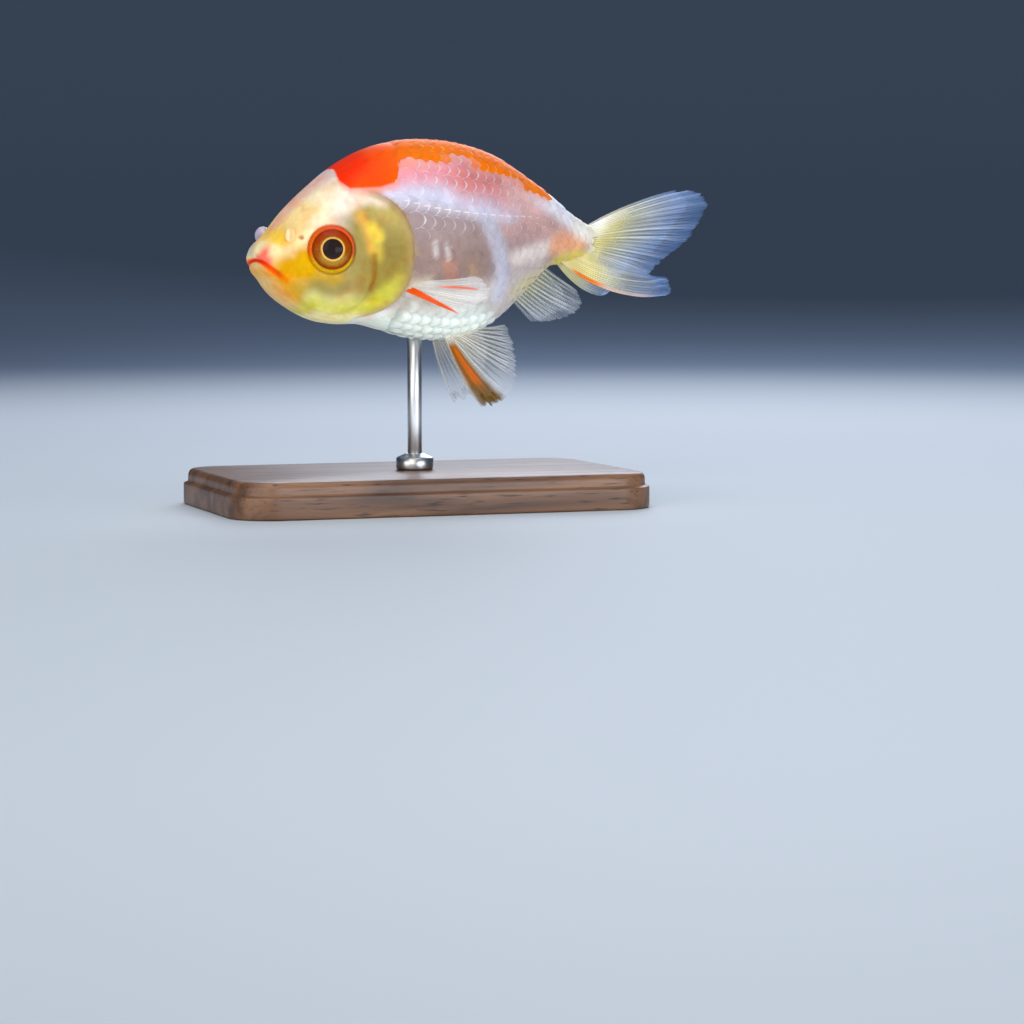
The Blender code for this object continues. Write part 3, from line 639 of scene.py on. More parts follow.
table_points = body(TABLE_U[:, None], TABLE_S[None, :])
over_line = table_points[..., 2] - np.interp(table_points[..., 0], LATERAL_LINE[:, 0], LATERAL_LINE[:, 1])
line_s = np.array([np.interp(0.0, -row, TABLE_S) for row in over_line])  # where the lateral line crosses
line_x = body(TABLE_U, line_s)[:, 0]
print("the lateral line is at", line_s[len(TABLE_U) // 2].round(2), "of the way down the flank")

# %% Rows of scales, each shifted by half a scale from the next
fine_x = np.linspace(15.0, 50.3, 500)
steps_so_far = np.cumsum(np.gradient(fine_x) / between(SCALE_STEP, fine_x))
half_steps = np.arange(0.0, steps_so_far[-1], 0.5)
along_x = np.interp(half_steps, steps_so_far, fine_x)
column, row = np.meshgrid(np.arange(len(half_steps)), np.arange(-10, 16), indexing="ij")
in_turn = (column + row) % 2 == 0
column, row = column[in_turn], row[in_turn]
scale_u = np.interp(along_x[column], line_x, TABLE_U)
girth = np.interp(scale_u, TABLE_U, HALF_GIRTH)
row_step = between(ROW_STEP, along_x[column])
scale_s = np.interp(scale_u, TABLE_U, line_s) + row * row_step / girth
clear = 0.62 * row_step / girth  # the rows on the ridge and on the keel take this much
kept = (scale_s > clear) & (scale_s < 1 - clear)
ridge_u = np.interp(along_x[::2], line_x, TABLE_U)
all_u = np.concatenate([scale_u[kept], scale_u[kept], ridge_u, ridge_u])
all_s = np.concatenate([scale_s[kept], 2 - scale_s[kept], np.zeros(len(ridge_u)), np.ones(len(ridge_u))])
NOT_IN_A_ROW = 99
all_row = np.concatenate([row[kept], row[kept], np.full(2 * len(ridge_u), NOT_IN_A_ROW)])
root = body(all_u, all_s)
with_scale = scaled(root[:, 0], root[:, 2]) > 0.5
all_u, all_s, all_row, root = all_u[with_scale], all_s[with_scale], all_row[with_scale], root[with_scale]
print("scales:", len(all_u))

# %% One small grid for each scale
# f runs from the tucked front to the hind margin, with its rows closer on the part that shows, and c across
SHARES = np.array((0.0, 0.35, 0.54, 0.64, 0.74, 0.84, 0.92, 0.97, 1.0))
ALONG, ACROSS = len(SHARES), 5
f, c = np.meshgrid(SHARES, np.linspace(-1, 1, ACROSS), indexing="ij")
step_along, step_round = between(SCALE_STEP, root[:, 0]), between(ROW_STEP, root[:, 0])
size = rng.normal(1.0, 0.025, len(all_u))
length = (SCALE_LENGTH * step_along * size)[:, None, None]
half = (SCALE_HALF_WIDTH * step_round * size)[:, None, None]
ROOT_AT = 0.45  # share of a scale's length in front of its root
back = length * (f * (1 - 0.24 * c**2) - ROOT_AT)  # shorter at its sides, so the hind margin is round
out = half * c * (1 - 0.30 * f**4)
mm_per_u = np.linalg.norm(body(all_u + 0.02, all_s) - body(all_u - 0.02, all_s), axis=-1) / 0.04
girth = np.interp(all_u, TABLE_U, HALF_GIRTH)
patch_u = all_u[:, None, None] + back / mm_per_u[:, None, None]
patch_s = all_s[:, None, None] + out / girth[:, None, None]
patch = body(patch_u, patch_s)
print("points on one scale:", ALONG * ACROSS, "length, mm:", length.min().round(1), "to", length.max().round(1))

# %% Tilt, lift and bulge
pearls_top = np.interp(root[:, 0], [19, 23, 31, 34, 37], [-5.4, -6.8, -6.8, -7.6, -9.6])
low_belly = (smooth(0.8, -1.4, root[:, 2] - pearls_top) * smooth(42, 38, root[:, 0]))[:, None, None]
bulge = 0.22 * (0.3 + 0.7 * smooth(19.5, 23.0, root[:, 0])) * np.clip(1 + 9 * (size - 1), 0.5, 1.4)  # mm
tilt = rng.normal(0.0, 0.012, (len(all_u), 1, 1))
lift = np.interp(f, [0, 0.86, 0.95, 1.0], [-SCALES_TAKE, 0.05, 0.04, -0.01])  # the margin dips again
lift = lift - 0.03 * c**2 + tilt * (f - 0.4)
domed = np.sqrt(1 - c**2) * np.sin(math.pi * np.clip((f - 0.5) / 0.5, 0, 1))  # belly scales bulge like pearls
lift = lift + bulge[:, None, None] * low_belly * domed
scale_points = patch + body_normal(patch_u, patch_s) * lift[..., None]
print("scales stand out, mm:", lift.max().round(2), "at most")

# %% Paint each scale
orange = smooth(-0.35, 0.35, above_edge(root[:, 0], root[:, 2]) + rng.normal(0, 0.22, len(root)))
orange = orange[:, None, None] * np.ones_like(patch[..., 0])  # a scale is orange or it isn't
paint = fish_paint(patch, orange)
luck = rng.random(len(root))[:, None, None]
light = rng.normal(0.0, 0.04, len(root))[:, None, None, None]
paint = np.clip(paint * (1 + light), 0, 1)
print("orange scales:", int((orange[:, 0, 0] > 0.5).sum()))

# %% The pale margins, the pearls with their painted light and shade, and the pore tubes
# a scale shows most of its margin above, least over the gut, and some of the orange ones show it too
height = patch[..., 2]
over_gut = brush(patch[..., 0], height, ((21.0, -1.5), (31.5, -1.5)), 3.4, 0.6)
netted = smooth(2.0, 6.5, height) + 0.4 * smooth(4.0, 0.0, height) + 0.3 * low_belly
netted = np.clip(netted * (0.55 + 0.75 * luck), 0, 1) * (1 - orange)
netted = netted * (1 - 0.75 * over_gut)
netted = np.maximum(netted, 0.9 * orange * smooth(0.35, 0.8, luck))
paint = lay(paint, 0.10 * (1 - orange) * (1 - low_belly), "#A58FA6")
# painted highlight on each pearl's crown, and painted shade in the hollows between pearls
paint = lay(paint, low_belly * (1 - orange) * (0.75 * domed), "#FBFFF6")
paint = lay(paint, low_belly * (1 - orange) * 0.45 * smooth(0.35, 0.0, domed), "#9FAEA2")
edge_paint = paint + 0.55 * (linear("#FFF6FA") - paint)
edge_paint = edge_paint + orange[..., None] * (linear("#FFAA28") - edge_paint)
tubes = (all_row == 0)[:, None, None] * smooth(43, 38, patch[..., 0])
print("scales with a pore tube:", int((tubes[:, 0, 0] > 0.5).sum()))

# %% The map, and the scales joined
# each scale has its own patch of the map, where its root lies on the skin's own unwrap
PATCH_SHARE = 0.8
patch_long = PATCH_SHARE * 0.5 * (step_along / mm_per_u)[:, None, None]
patch_wide = PATCH_SHARE * 0.5 * (step_round / girth)[:, None, None]
uv_u = all_u[:, None, None] / TAIL_ROOT + (f - 0.5) * patch_long / TAIL_ROOT
uv_s = np.mod(all_s, 2.0)[:, None, None] / 2 + c / 2 * patch_wide
scale_uv = np.stack(np.broadcast_arrays(uv_u, np.clip(uv_s, 0, 1)), axis=-1)


def add_scales(name, chosen):
    """Joins the chosen scales' grids into one mesh."""
    count = int(chosen.sum())
    quads = (quads_of(ALONG, ACROSS)[None] + np.arange(count)[:, None, None] * ALONG * ACROSS).reshape(-1, 4)
    values = {
        "paint": paint[chosen].reshape(-1, 3),
        "edge_paint": edge_paint[chosen].reshape(-1, 3),
        "netted": netted[chosen].ravel(),
        "growth": np.broadcast_to(f, orange.shape)[chosen].ravel(),
        "across": np.broadcast_to(c * smooth(0.4, 0.64, f), orange.shape)[chosen].ravel(),
        "tube": tubes[chosen].ravel(),
        "pearl": ((0.55 + 0.45 * luck) * (1 - 0.8 * orange))[chosen].ravel(),
    }
    points = swim(scale_points[chosen].reshape(-1, 3))
    return add_piece(name, points, quads[:, ::-1], values=values, uv=scale_uv[chosen].reshape(-1, 2))


left = np.mod(all_s, 2.0) <= 1.0
scales_left = add_scales("scales_left", left)
scales_right = add_scales("scales_right", ~left)
print("scale faces:", len(scales_left.data.polygons), len(scales_right.data.polygons))

# %% [markdown]
# ## Eyes
# A fish's eye has no lids. It is a flattened ball in a fleshy ring: a round black pupil that stands a little
# proud, a thin gold line round it, the dark orange iris, and the ring. All of it is round about one axis, so
# it is turned like a knob from one profile, and painted by radius and by the direction round the axis.


# %% Turn the eyes
def head_rigid(offsets, centre):
    """Turns offsets about a place on the head as the head itself is turned there, and puts them at it."""
    turn = head_turn(centre[0])
    x, y, z = np.moveaxis(offsets, -1, 0)
    turned = [x * math.cos(turn) - y * math.sin(turn), x * math.sin(turn) + y * math.cos(turn), z]
    return swim(centre) + np.stack(turned, axis=-1) * MM


# radius, and height over the eye's middle, from the front pole to the back one
EYE_PROFILE = np.array(
    [(0.30, 2.56), (0.80, 2.52), (1.25, 2.42), (1.36, 2.33), (1.55, 2.27), (1.9, 2.12), (2.3, 1.86),
     (2.62, 1.56), (2.78, 1.42), (2.95, 1.42), (3.12, 1.28), (3.26, 0.92), (3.30, 0.3), (3.1, -0.9),
     (2.2, -1.9), (0.8, -2.5)]
)
EYE_TURNS = 96


def eye_paint(r, high, tailward):
    """Glazes by the radius r in mm and by the direction round the axis, and how much of each place is ring."""
    ring = smooth(2.66, 2.84, r)
    glazes = (
        (smooth(-0.2, 0.9, high) * smooth(1.7, 2.4, r), "#A82C00"),  # the iris, redder above
        (0.6 * smooth(-0.1, -0.8, high) * smooth(1.5, 1.7, r) * smooth(2.5, 1.9, r), "#A08A24"),  # gold below
        (0.8 * bell(r - 2.62, 0.14), "#6E2A04"),  # the dark gap round it
        (ring, "#D65A00"),
        (ring * smooth(0.1, 0.8, high * 0.8 + tailward * 0.6), "#DE5424"),
        (0.7 * ring * smooth(0.3, 0.9, tailward) * smooth(0.7, 0.0, high), "#A0481E"),
        (0.95 * ring * smooth(-0.1, -0.65, high), "#BE9604"),
        (bell(r - 1.5, 0.13), "#E8B45A"),  # the thin gold line
        (smooth(1.42, 1.32, r), "#231A18"),  # the pupil
    )
    paint = np.broadcast_to(linear("#924400"), (len(r), 3))
    for cover, colour in glazes:
        paint = lay(paint, cover, colour)
    return paint, ring


def add_eye(name, side):
    """The profile's radius times (cos, sin) round the eye's axis, plus its height along the axis."""
    profile = smooth_line(EYE_PROFILE, 64)
    round_axis = np.linspace(0, 2 * math.pi, EYE_TURNS, endpoint=False)
    up = np.array((0.0, 0.0, 1.0)) - EYE_AXIS[2] * EYE_AXIS
    up /= np.linalg.norm(up)
    hind = np.cross(up, EYE_AXIS)  # towards the tail on the left eye
    hind *= np.sign(hind[0])
    radius, height = profile[:, None, 0:1], profile[:, None, 1:2]
    cos, sin = np.cos(round_axis)[None, :, None], np.sin(round_axis)[None, :, None]
    rings = radius * (cos * hind + sin * up) + height * EYE_AXIS
    points, quads, fans = capped(rings)
    mirror = np.array((1.0, side, 1.0))
    placed = head_rigid(points * mirror, EYE_CENTRE * mirror)
    r = np.concatenate([np.repeat(profile[:, 0], EYE_TURNS), [0.0, 0.0]])
    t = np.concatenate([np.tile(round_axis, len(profile)), [0.0, 0.0]])
    paint, ring = eye_paint(r, np.sin(t), np.cos(t))
    quads, fans = turned_out(placed, quads, fans)
    return add_piece(name, placed, quads, fans, {"paint": paint, "ring": ring})


eyes = {name: add_eye(name, side) for name, side in (("ball_left", 1.0), ("ball_right", -1.0))}
print("eyes:", {name: len(eye.data.polygons) for name, eye in eyes.items()})

# %% [markdown]
# ## Nasal flaps
# Over each nostril stands a small fleshy lobe, which grows to a pompon in some breeds and stays a bud here.
# It is a small egg with one furrow down its outer face, so a stretched ball is enough, with a bell taken off
# that face. Two pale folds beside the furrow are painted.


# %% Make the nasal flaps
FLAP_CENTRE = np.array((4.5, -4.8, 3.5))
FLAP_HALF_SIZE = np.array((0.85, 1.1, 1.0))


def add_flap(name, side, swell, flat, hex_colour):
    """A ball stretched to its half sizes, whose outer face has a bell-shaped furrow down its middle."""
    from_pole = np.linspace(0.12, math.pi - 0.12, 24)  # radians, with both poles left to the caps
    pole, turn = np.meshgrid(from_pole, np.linspace(0, 2 * math.pi, 36, endpoint=False), indexing="ij")
    fore = np.cos(turn) * np.sin(pole)
    outside = np.cos(pole) > 0
    outer = -np.cos(pole) * (1 - 0.3 * (bell(fore, 0.24) * outside)) * np.where(outside, flat, 1.0)
    ball = swell * np.stack([fore, outer, np.sin(turn) * np.sin(pole)], axis=-1)
    points, quads, fans = capped(ball * FLAP_HALF_SIZE)
    mirror = np.array((1.0, side, 1.0))
    placed = head_rigid(points * mirror, FLAP_CENTRE * mirror)
    folds = bell(np.abs(points[:, 0]) - 0.42, 0.2)
    paint = lay(np.broadcast_to(linear(hex_colour), points.shape), 0.45 * folds, "#FFF0D0")
    quads, fans = turned_out(placed, quads, fans)
    return add_piece(name, placed, quads, fans, {"paint": paint, "pearl": np.full(len(points), 0.2)})


flaps = {  # the right one is the larger, as one often is
    "flap_left": add_flap("flap_left", 1.0, 0.95, 0.36, "#F0CE8E"),
    "flap_right": add_flap("flap_right", -1.0, 1.25, 0.95, "#BDB4CE"),
}
print("flaps:", list(flaps))

# %% [markdown]
# ## Fins
# A fin is a thin web over soft rays. Each ray leaves the root as one rod, splits in two and then in four,
# and fades towards the hind edge, which is why a fin is opaque at its root and glassy at its edge. The rays'
# courses are the same as in the solids. A height function of two numbers, the ray number q and the share t
# of the way out, raises the rays from the web, and the same numbers give the paint and how much light goes
# through.

# %% The rays' courses
# root x, y, z, side angle, turn of that angle along the ray, reach, outward lean, turn of the lean
FIN_KEY_RAYS = {
    "pectoral_fin": (
        (19.6, -8.3, -3.6, -28.0, 6.0, 9.3, 26.0, -8.0),
        (19.8, -8.4, -3.3, -17.0, 6.0, 11.7, 26.0, -6.0),
        (20.0, -8.5, -3.0, -8.0, 6.0, 12.6, 25.0, -6.0),
        (20.2, -8.6, -2.7, 0.0, 8.0, 10.6, 24.0, -6.0),
    ),
    "pelvic_fin": (
        (27.9, -2.6, -9.6, -79.0, 24.0, 12.6, 14.0, 4.0),
        (28.4, -2.8, -9.6, -60.0, 14.0, 13.2, 14.0, 6.0),
        (28.9, -3.0, -9.5, -42.0, 10.0, 11.7, 15.0, 6.0),
        (29.4, -3.2, -9.4, -22.0, 4.0, 9.3, 16.0, 4.0),
        (29.9, -3.4, -9.3, 2.0, 6.0, 6.9, 16.0, 2.0),
    ),
    "anal_fin": (
        (38.4, -0.7, -4.6, -46.0, 6.0, 6.2, 10.0, 8.0),
        (39.6, -0.8, -3.4, -38.0, 6.0, 8.4, 10.0, 10.0),
        (41.0, -0.8, -2.0, -32.0, 4.0, 9.2, 10.0, 10.0),
        (42.6, -0.8, 0.0, -38.0, 0.0, 7.2, 10.0, 10.0),
    ),
    "tail_fin": (  # the upper lobe, then the lower
        (49.4, -0.5, 4.4, 30.0, -20.0, 17.4, 4.0, 6.0),
        (49.4, -0.6, 4.0, 20.0, -12.0, 19.2, 5.0, 8.0),
        (49.2, -0.8, 3.3, 8.0, -8.0, 16.8, 7.0, 10.0),
        (48.9, -0.9, 2.6, -4.0, -6.0, 13.4, 10.0, 12.0),
        (48.4, -1.0, 1.9, -16.0, -4.0, 11.4, 14.0, 14.0),
        (48.0, -1.1, 1.4, -23.0, 4.0, 11.4, 18.0, 16.0),
        (47.4, -1.1, 0.9, -31.0, 34.0, 14.6, 20.0, 30.0),
        (46.8, -1.1, 0.4, -40.0, 46.0, 17.0, 22.0, 34.0),
        (46.0, -1.1, -0.1, -47.0, 54.0, 17.2, 22.0, 30.0),
    ),
}
RAYS = {"pectoral_fin": 14, "pelvic_fin": 15, "anal_fin": 12, "tail_fin": 36}
FRINGE = {"pectoral_fin": 0.09, "pelvic_fin": 0.12, "anal_fin": 0.10, "tail_fin": 0.06}  # share of the reach
POINTS_PER_RAY = 12
RAY_STEPS = 44


def fan(keys, k):
    """The fin's middle surface, a row of points for each key number k. A ray's heading turns evenly from
    root to tip, and its points add up the steps in that heading."""
    key = through(with_guides(keys), k)
    root, reach = key[:, None, 0:3], key[:, None, 5:6]
    half_way = (np.arange(RAY_STEPS - 1) + 0.5) / (RAY_STEPS - 1)
    side = np.radians(key[:, 3:4] + key[:, 4:5] * half_way)
    lean = np.radians(key[:, 6:7] + key[:, 7:8] * half_way)
    heading = np.stack([np.cos(side) * np.cos(lean), -np.sin(lean), np.sin(side) * np.cos(lean)], axis=-1)
    return np.concatenate([root, root + np.cumsum(heading * reach / (RAY_STEPS - 1), axis=1)], axis=1)


print("rays:", RAYS)


# %% Branches and colours
def branches(q, t):
    """How far q is from the nearest branch of its ray, in ray spaces: one rod at first, two beyond a third
    of the way, four beyond two thirds."""
    first, second = 0.25 * smooth(0.25, 0.95, t), 0.125 * smooth(0.55, 1.0, t)
    return np.abs(np.abs(np.abs(np.mod(q, 1.0) - 0.5) - first) - second)


# fin: web colour, tip colour, root colour, how far out the root colour goes, and how much of what lies behind
# it the web hides at its root and its tip, and a ray at its root and its tip
FIN_COLOURS = {
    "pectoral_fin": ("#ECEAE2", "#EAEFF2", "#F3E6D2", 0.20, 0.25, 0.09, 0.84, 0.56),
    "pelvic_fin": ("#CCC6AC", "#BABFC2", "#F2E2BC", 0.30, 0.21, 0.07, 0.74, 0.66),
    "anal_fin": ("#D6DCD4", "#B8C6DC", "#EDE8B2", 0.35, 0.20, 0.06, 0.64, 0.46),
    "tail_fin": ("#E0E8E4", "#3E94F2", "#D4C658", 0.48, 0.38, 0.10, 0.88, 0.48),
}
# fin: colour, strength, first and last key number, first and last share of the way out, how many times wider
# the streak grows towards the root, where the rays crowd together, and how pointed its ends are
ON_THE_LEFT_ONLY = ("pelvic_fin", "tail_fin")  # the right ones are plain
FIN_STREAKS = {
    "pectoral_fin": (
        ("#E85200", 1.0, -0.05, 0.30, 0.0, 1.04, 5.0, 0.8),
        ("#EC5A18", 0.9, 2.00, 2.30, 0.34, 0.90, 0.0, 1.0),
    ),
    "pelvic_fin": (
        ("#8C5404", 1.0, 0.08, 1.04, 0.14, 1.05, 0.0, 0.0),
        ("#D86400", 0.8, 0.46, 0.80, 0.20, 0.74, 0.0, 0.0),
        ("#66500F", 0.7, 0.10, 1.04, 0.66, 1.05, 0.0, 0.0),
    ),
    "anal_fin": (),
    "tail_fin": (
        ("#F07C1C", 0.95, 7.60, 8.05, 0.12, 0.40, 0.0, 0.0),
        ("#EFB9A4", 0.6, 7.7, 8.05, 0.42, 0.85, 0.0, 0.0),
    ),
}
print("ray spaces from a ray's middle to its branches at the tip:", branches(0.5, 1.0))


# %% Rays and web
def slab(top, bottom):
    """A closed sheet from two grids of points that lie face to face: both grids, and quads that join them
    along the four borders."""
    rows, columns, _ = top.shape
    size = rows * columns
    index = np.arange(size).reshape(rows, columns)
    quads = quads_of(rows, columns)
    edge = np.concatenate([index[0, :-1], index[:-1, -1], index[-1, :0:-1], index[:0:-1, 0]])
    after = np.roll(edge, -1)
    rim = np.stack([edge, after, after + size, edge + size], axis=-1)
    return np.concatenate([top.reshape(-1, 3), bottom.reshape(-1, 3)]), np.concatenate(
        [quads, quads[:, ::-1] + size, rim]
    )


# mm: half the web's thickness, a ray's height over it at the root, what it loses by the tip, how far the web
# sags between rays, and how far the whole fin ripples
HALF_WEB, RAY_HEIGHT, RAY_HEIGHT_LOST, SAG, RIPPLE = 0.028, 0.13, 0.09, 0.16, 0.35


def fin_shape(kind, q, k, t):
    """Rays are bells across the branches, whose width in mm is turned into ray spaces; the web sags between
    them by a cosine, and the hind edge is cut in a little between the rays. It gives the points and the quads
    of both faces, and how much of each place is ray."""
    rays = RAYS[kind]
    whole = fan(FIN_KEY_RAYS[kind], k)
    space = np.linalg.norm(np.gradient(whole, axis=0), axis=-1) * POINTS_PER_RAY  # mm from ray to ray
    vigour = rng.uniform(0.35, 1.0, rays + 1)  # no two rays alike
    vigour = np.interp(q, np.arange(rays + 1) + 0.5, vigour)[:, None]
    width = np.clip((0.125 - 0.05 * t) / np.maximum(space, 0.05), 0.035, 0.4)
    ray = vigour * bell(branches(q[:, None], t), width)
    uneven = np.interp(q * 4, np.arange(4 * rays + 2), rng.normal(1.0, 0.35, 4 * rays + 2))[:, None]
    between_tips = 1 - bell(branches(q[:, None], np.ones_like(t)), 0.08)
    notch = 1 - FRINGE[kind] * uneven * smooth(0.75, 1.0, t) * (0.35 + 0.65 * between_tips)
    normal = np.cross(np.gradient(whole, axis=1), np.gradient(whole, axis=0))
    normal /= np.maximum(np.linalg.norm(normal, axis=-1, keepdims=True), 1e-9)
    fade = smooth(0.0, 0.15, t) * (1 - 0.5 * t)
    sag = SAG * fade * np.cos(2 * math.pi * q)[:, None] * np.clip(space / 1.2, 0, 1)
    ripple = RIPPLE * smooth(0.3, 1.0, t) * np.sin(2 * math.pi * (k[:, None] * 0.62 + 0.35 * t) + len(kind))
    middle = whole[:, :1] + (whole - whole[:, :1]) * notch[..., None] + normal * (sag + ripple)[..., None]
    thick = HALF_WEB + (RAY_HEIGHT - RAY_HEIGHT_LOST * t) * ray
    points, quads = slab(middle + normal * thick[..., None], middle - normal * thick[..., None])
    return points, quads, ray


# %% Paint, and how much each place hides
def fin_paint(kind, k, t, ray, streaks):
    """Colours from root to tip, white rays and then the streaks; and the cover, which goes down from the
    root and up on the rays."""
    web, tip, base, reach, web_root, web_tip, ray_root, ray_tip = FIN_COLOURS[kind]
    paint = lay(np.broadcast_to(linear(web), t.shape + (3,)), smooth(0.45, 1.0, t), tip)
    paint = lay(paint, 0.95 * smooth(reach * 1.4, reach * 0.4, t), base)
    if kind == "tail_fin":
        paint = lay(paint, 0.9 * smooth(0.34, 0.06, t) * smooth(3.0, 1.0, k)[:, None], "#FFFDF4")
        paint = lay(paint, 0.8 * smooth(0.60, 0.10, t) * smooth(1.3, 0.2, k)[:, None], "#F4F4F2")
        paint = lay(paint, 0.7 * smooth(0.16, 0.0, t) * bell(k - 4.5, 2.0)[:, None], "#F0B47C")
    paint = lay(paint, 0.55 * ray, "#FFFFFF")
    cover = web_root + (web_tip - web_root) * smooth(0.0, 0.8, t)
    cover = cover + (ray_root + (ray_tip - ray_root) * t - cover) * ray
    if kind == "tail_fin":  # milky at its root, and further out along its upper and lower edges
        far_out = t * (0.75 + 0.25 * smooth(0.0, 1.5, k) - 0.3 * smooth(4.5, 6.5, k))[:, None]
        cover = np.maximum(cover, smooth(0.60, 0.14, far_out) ** 1.3)
    else:
        cover = np.maximum(cover, smooth(0.12, 0.02, t))
    for colour, strength, k0, k1, t0, t1, crowding, pointed in streaks:
        edge = 0.18 * (k1 - k0) + 0.03
        from_middle = np.clip(2 * (t - t0) / (t1 - t0) - 1, 0 if t0 == 0 else -1, 1)  # at the root only its tip
        half = 0.5 * (k1 - k0) * (1 + crowding * (1 - t) ** 3) * (1 - pointed * from_middle**2)
        on = smooth(half + edge, half - edge, np.abs(k[:, None] - k0 - half))
        on = on * np.minimum(1.0, half / edge + 0.2)
        on = on * smooth(t0 - 0.06, t0 + 0.06, t) * smooth(t1 + 0.08, t1 - 0.08, t)
        paint = lay(paint, strength * on, colour)
        cover = cover + strength * on * (0.985 - 0.05 * t - cover)
    return paint, cover


def add_fin(kind, side_name, side):
    """One fin as a closed sheet, mirrored for the right side, with its paint and its map on both faces."""
    rays, last_key = RAYS[kind], len(FIN_KEY_RAYS[kind]) - 1
    q = np.linspace(0.0, rays, rays * POINTS_PER_RAY + 1)
    k = q / rays * last_key
    t = np.linspace(0, 1, RAY_STEPS)[None, :] * np.ones((len(q), 1))
    points, quads, ray = fin_shape(kind, q, k, t)
    plain = kind in ON_THE_LEFT_ONLY and side < 0
    paint, cover = fin_paint(kind, k, t, ray, () if plain else FIN_STREAKS[kind])
    sheet = 1 - np.sqrt(1 - np.clip(cover, 0, 0.995))  # two faces lie behind each other, and each has its share
    placed = swim(points * np.array((1.0, side, 1.0)))
    faces, _ = turned_out(placed, quads, NO_TRIANGLES)
    layout = np.stack([0.02 + 0.46 * t, 0.02 + 0.96 * k[:, None] / last_key * np.ones_like(t)], axis=-1)
    uv = np.concatenate([layout.reshape(-1, 2), layout.reshape(-1, 2) + (0.5, 0.0)])
    values = {"paint": np.tile(paint.reshape(-1, 3), (2, 1)), "cover": np.tile(sheet.ravel(), 2)}
    values["ray"] = np.tile(ray.ravel(), 2)
    return add_piece(f"{kind.replace('fin', 'web')}_{side_name}", placed, faces, values=values, uv=uv)


fins = {}
for side_name, side in (("left", 1.0), ("right", -1.0)):
    for kind in FIN_KEY_RAYS:
        fins[f"{kind}_{side_name}"] = add_fin(kind, side_name, side)
print("fins:", {name: len(fin.data.polygons) for name, fin in fins.items()})

# %% [markdown]
# ## Stand
# The stand is a small walnut plinth, a steel rod and a collar. The plinth's edge is a moulding, which a
# shaper cuts by running one profile round the outline, and it is made here in the same way. The rod and the
# collar are turned, so each is a profile carried round the upright axis.

# %% Profiles and how they are carried round
BASE_LENGTH, BASE_WIDTH, BASE_HEIGHT, CORNER_RADIUS = 60.0, 36.0, 5.0, 6.0
PLINTH_PROFILE = np.array(  # mm in from the outline, and height
    [(0.5, 0.0), (0.12, 0.12), (0.0, 0.5), (0.0, 2.7), (0.10, 3.0), (0.35, 3.12), (0.55, 3.2),
     (0.62, 3.45), (0.66, 4.2), (0.85, 4.66), (1.2, 4.92), (1.7, BASE_HEIGHT)]
)


def plinth_ring(inset, height, points=32):
    """A rounded rectangle as four quarter circles, each moved out to its corner."""
    turn = np.linspace(0, math.pi / 2, points)
    angle = np.concatenate([turn + quarter * math.pi / 2 for quarter in range(4)])
    diagonal = angle.reshape(4, -1).mean(1)
    corner = np.stack([np.sign(np.cos(diagonal)), np.sign(np.sin(diagonal))], axis=-1)
    corner = np.repeat(corner, points, axis=0)
    radius = CORNER_RADIUS - inset
    x = corner[:, 0] * (BASE_LENGTH / 2 - CORNER_RADIUS) + radius * np.cos(angle)
    y = corner[:, 1] * (BASE_WIDTH / 2 - CORNER_RADIUS) + radius * np.sin(angle)
    return np.stack([x, y, np.full(len(x), height)], axis=-1)


def turned(profile, segments=64):
    """The profile's radius times (cos, sin) round the upright axis, at its height."""
    profile = np.asarray(profile, float)
    turn = np.linspace(0, 2 * math.pi, segments, endpoint=False)
    radius, height = profile[:, :1], profile[:, 1:]
    return np.stack([radius * np.cos(turn), radius * np.sin(turn), height * np.ones_like(turn)], axis=-1)


def add_closed(name, rings):
    """A piece from rings in millimetres, closed at both ends."""
    points, quads, fans = capped(rings)
    return add_piece(name, points * MM, *turned_out(points, quads, fans))


print("a corner of the plinth starts at", plinth_ring(0.0, 0.0)[0].round(1))

# %% Plinth, rod and collar
moulding = smooth_line(PLINTH_PROFILE, 45)
plinth = add_closed("plinth", np.stack([plinth_ring(inset, height) for inset, height in moulding]))
rod_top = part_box("stand_rod")[1].z / MM
rod = add_closed("rod", turned([(0.9, 2.0), (1.0, 2.1), (1.0, rod_top - 0.15), (0.85, rod_top)]))
COLLAR_PROFILE = (  # radius and height
    (1.05, BASE_HEIGHT), (2.35, BASE_HEIGHT), (2.55, 5.15), (2.6, 5.3), (2.6, 6.55), (2.45, 6.75), (2.2, 6.85),
    (1.9, 7.0), (1.55, 7.15), (1.3, 7.28), (1.05, 7.3),
)
collar = add_closed("collar", turned(COLLAR_PROFILE))
print("rod top, mm:", round(rod_top, 2))

# %% [markdown]
# ## Materials
# Each finish starts from what the real surface is. The shapes carry their paint as an attribute, and the
# nodes add what is too fine for the mesh: mottling, pores, growth rings, wood grain and the marks of the
# lathe. Patterns read Object coordinates, which are metres here, so a feature of 1 mm wants a scale of 1000.
# Each finish could be a wrapped image instead, but nodes have no seams and stay sharp from close by.


# %% One function adds a node
def node(tree, kind, inputs=None, **settings):
    """Adds a node, sets its settings, and fills its inputs: an output of another node is linked, and
    anything else becomes the input's value."""
    made = tree.nodes.new(kind)
    for key, value in settings.items():
        setattr(made, key, value)
    for key, value in (inputs or {}).items():
        if isinstance(value, bpy.types.NodeSocket):
            tree.links.new(value, made.inputs[key])
        else:
            made.inputs[key].default_value = value
    return made


print("a feature of 0.2 mm wants a scale of", round(1 / (0.2 * MM)))


# %% An empty material to start from
def new_material(name):
    """An empty material, its tree, and the Object coordinates that its patterns read."""
    made = bpy.data.materials.new(name)
    made.use_nodes = True
    made.node_tree.nodes.clear()
    print("material:", name)
    return made, made.node_tree, node(made.node_tree, "ShaderNodeTexCoord").outputs["Object"]


def rgba(hex_colour):
    """The linear colour with full cover, as a socket wants it."""
    return (*linear(hex_colour), 1.0)


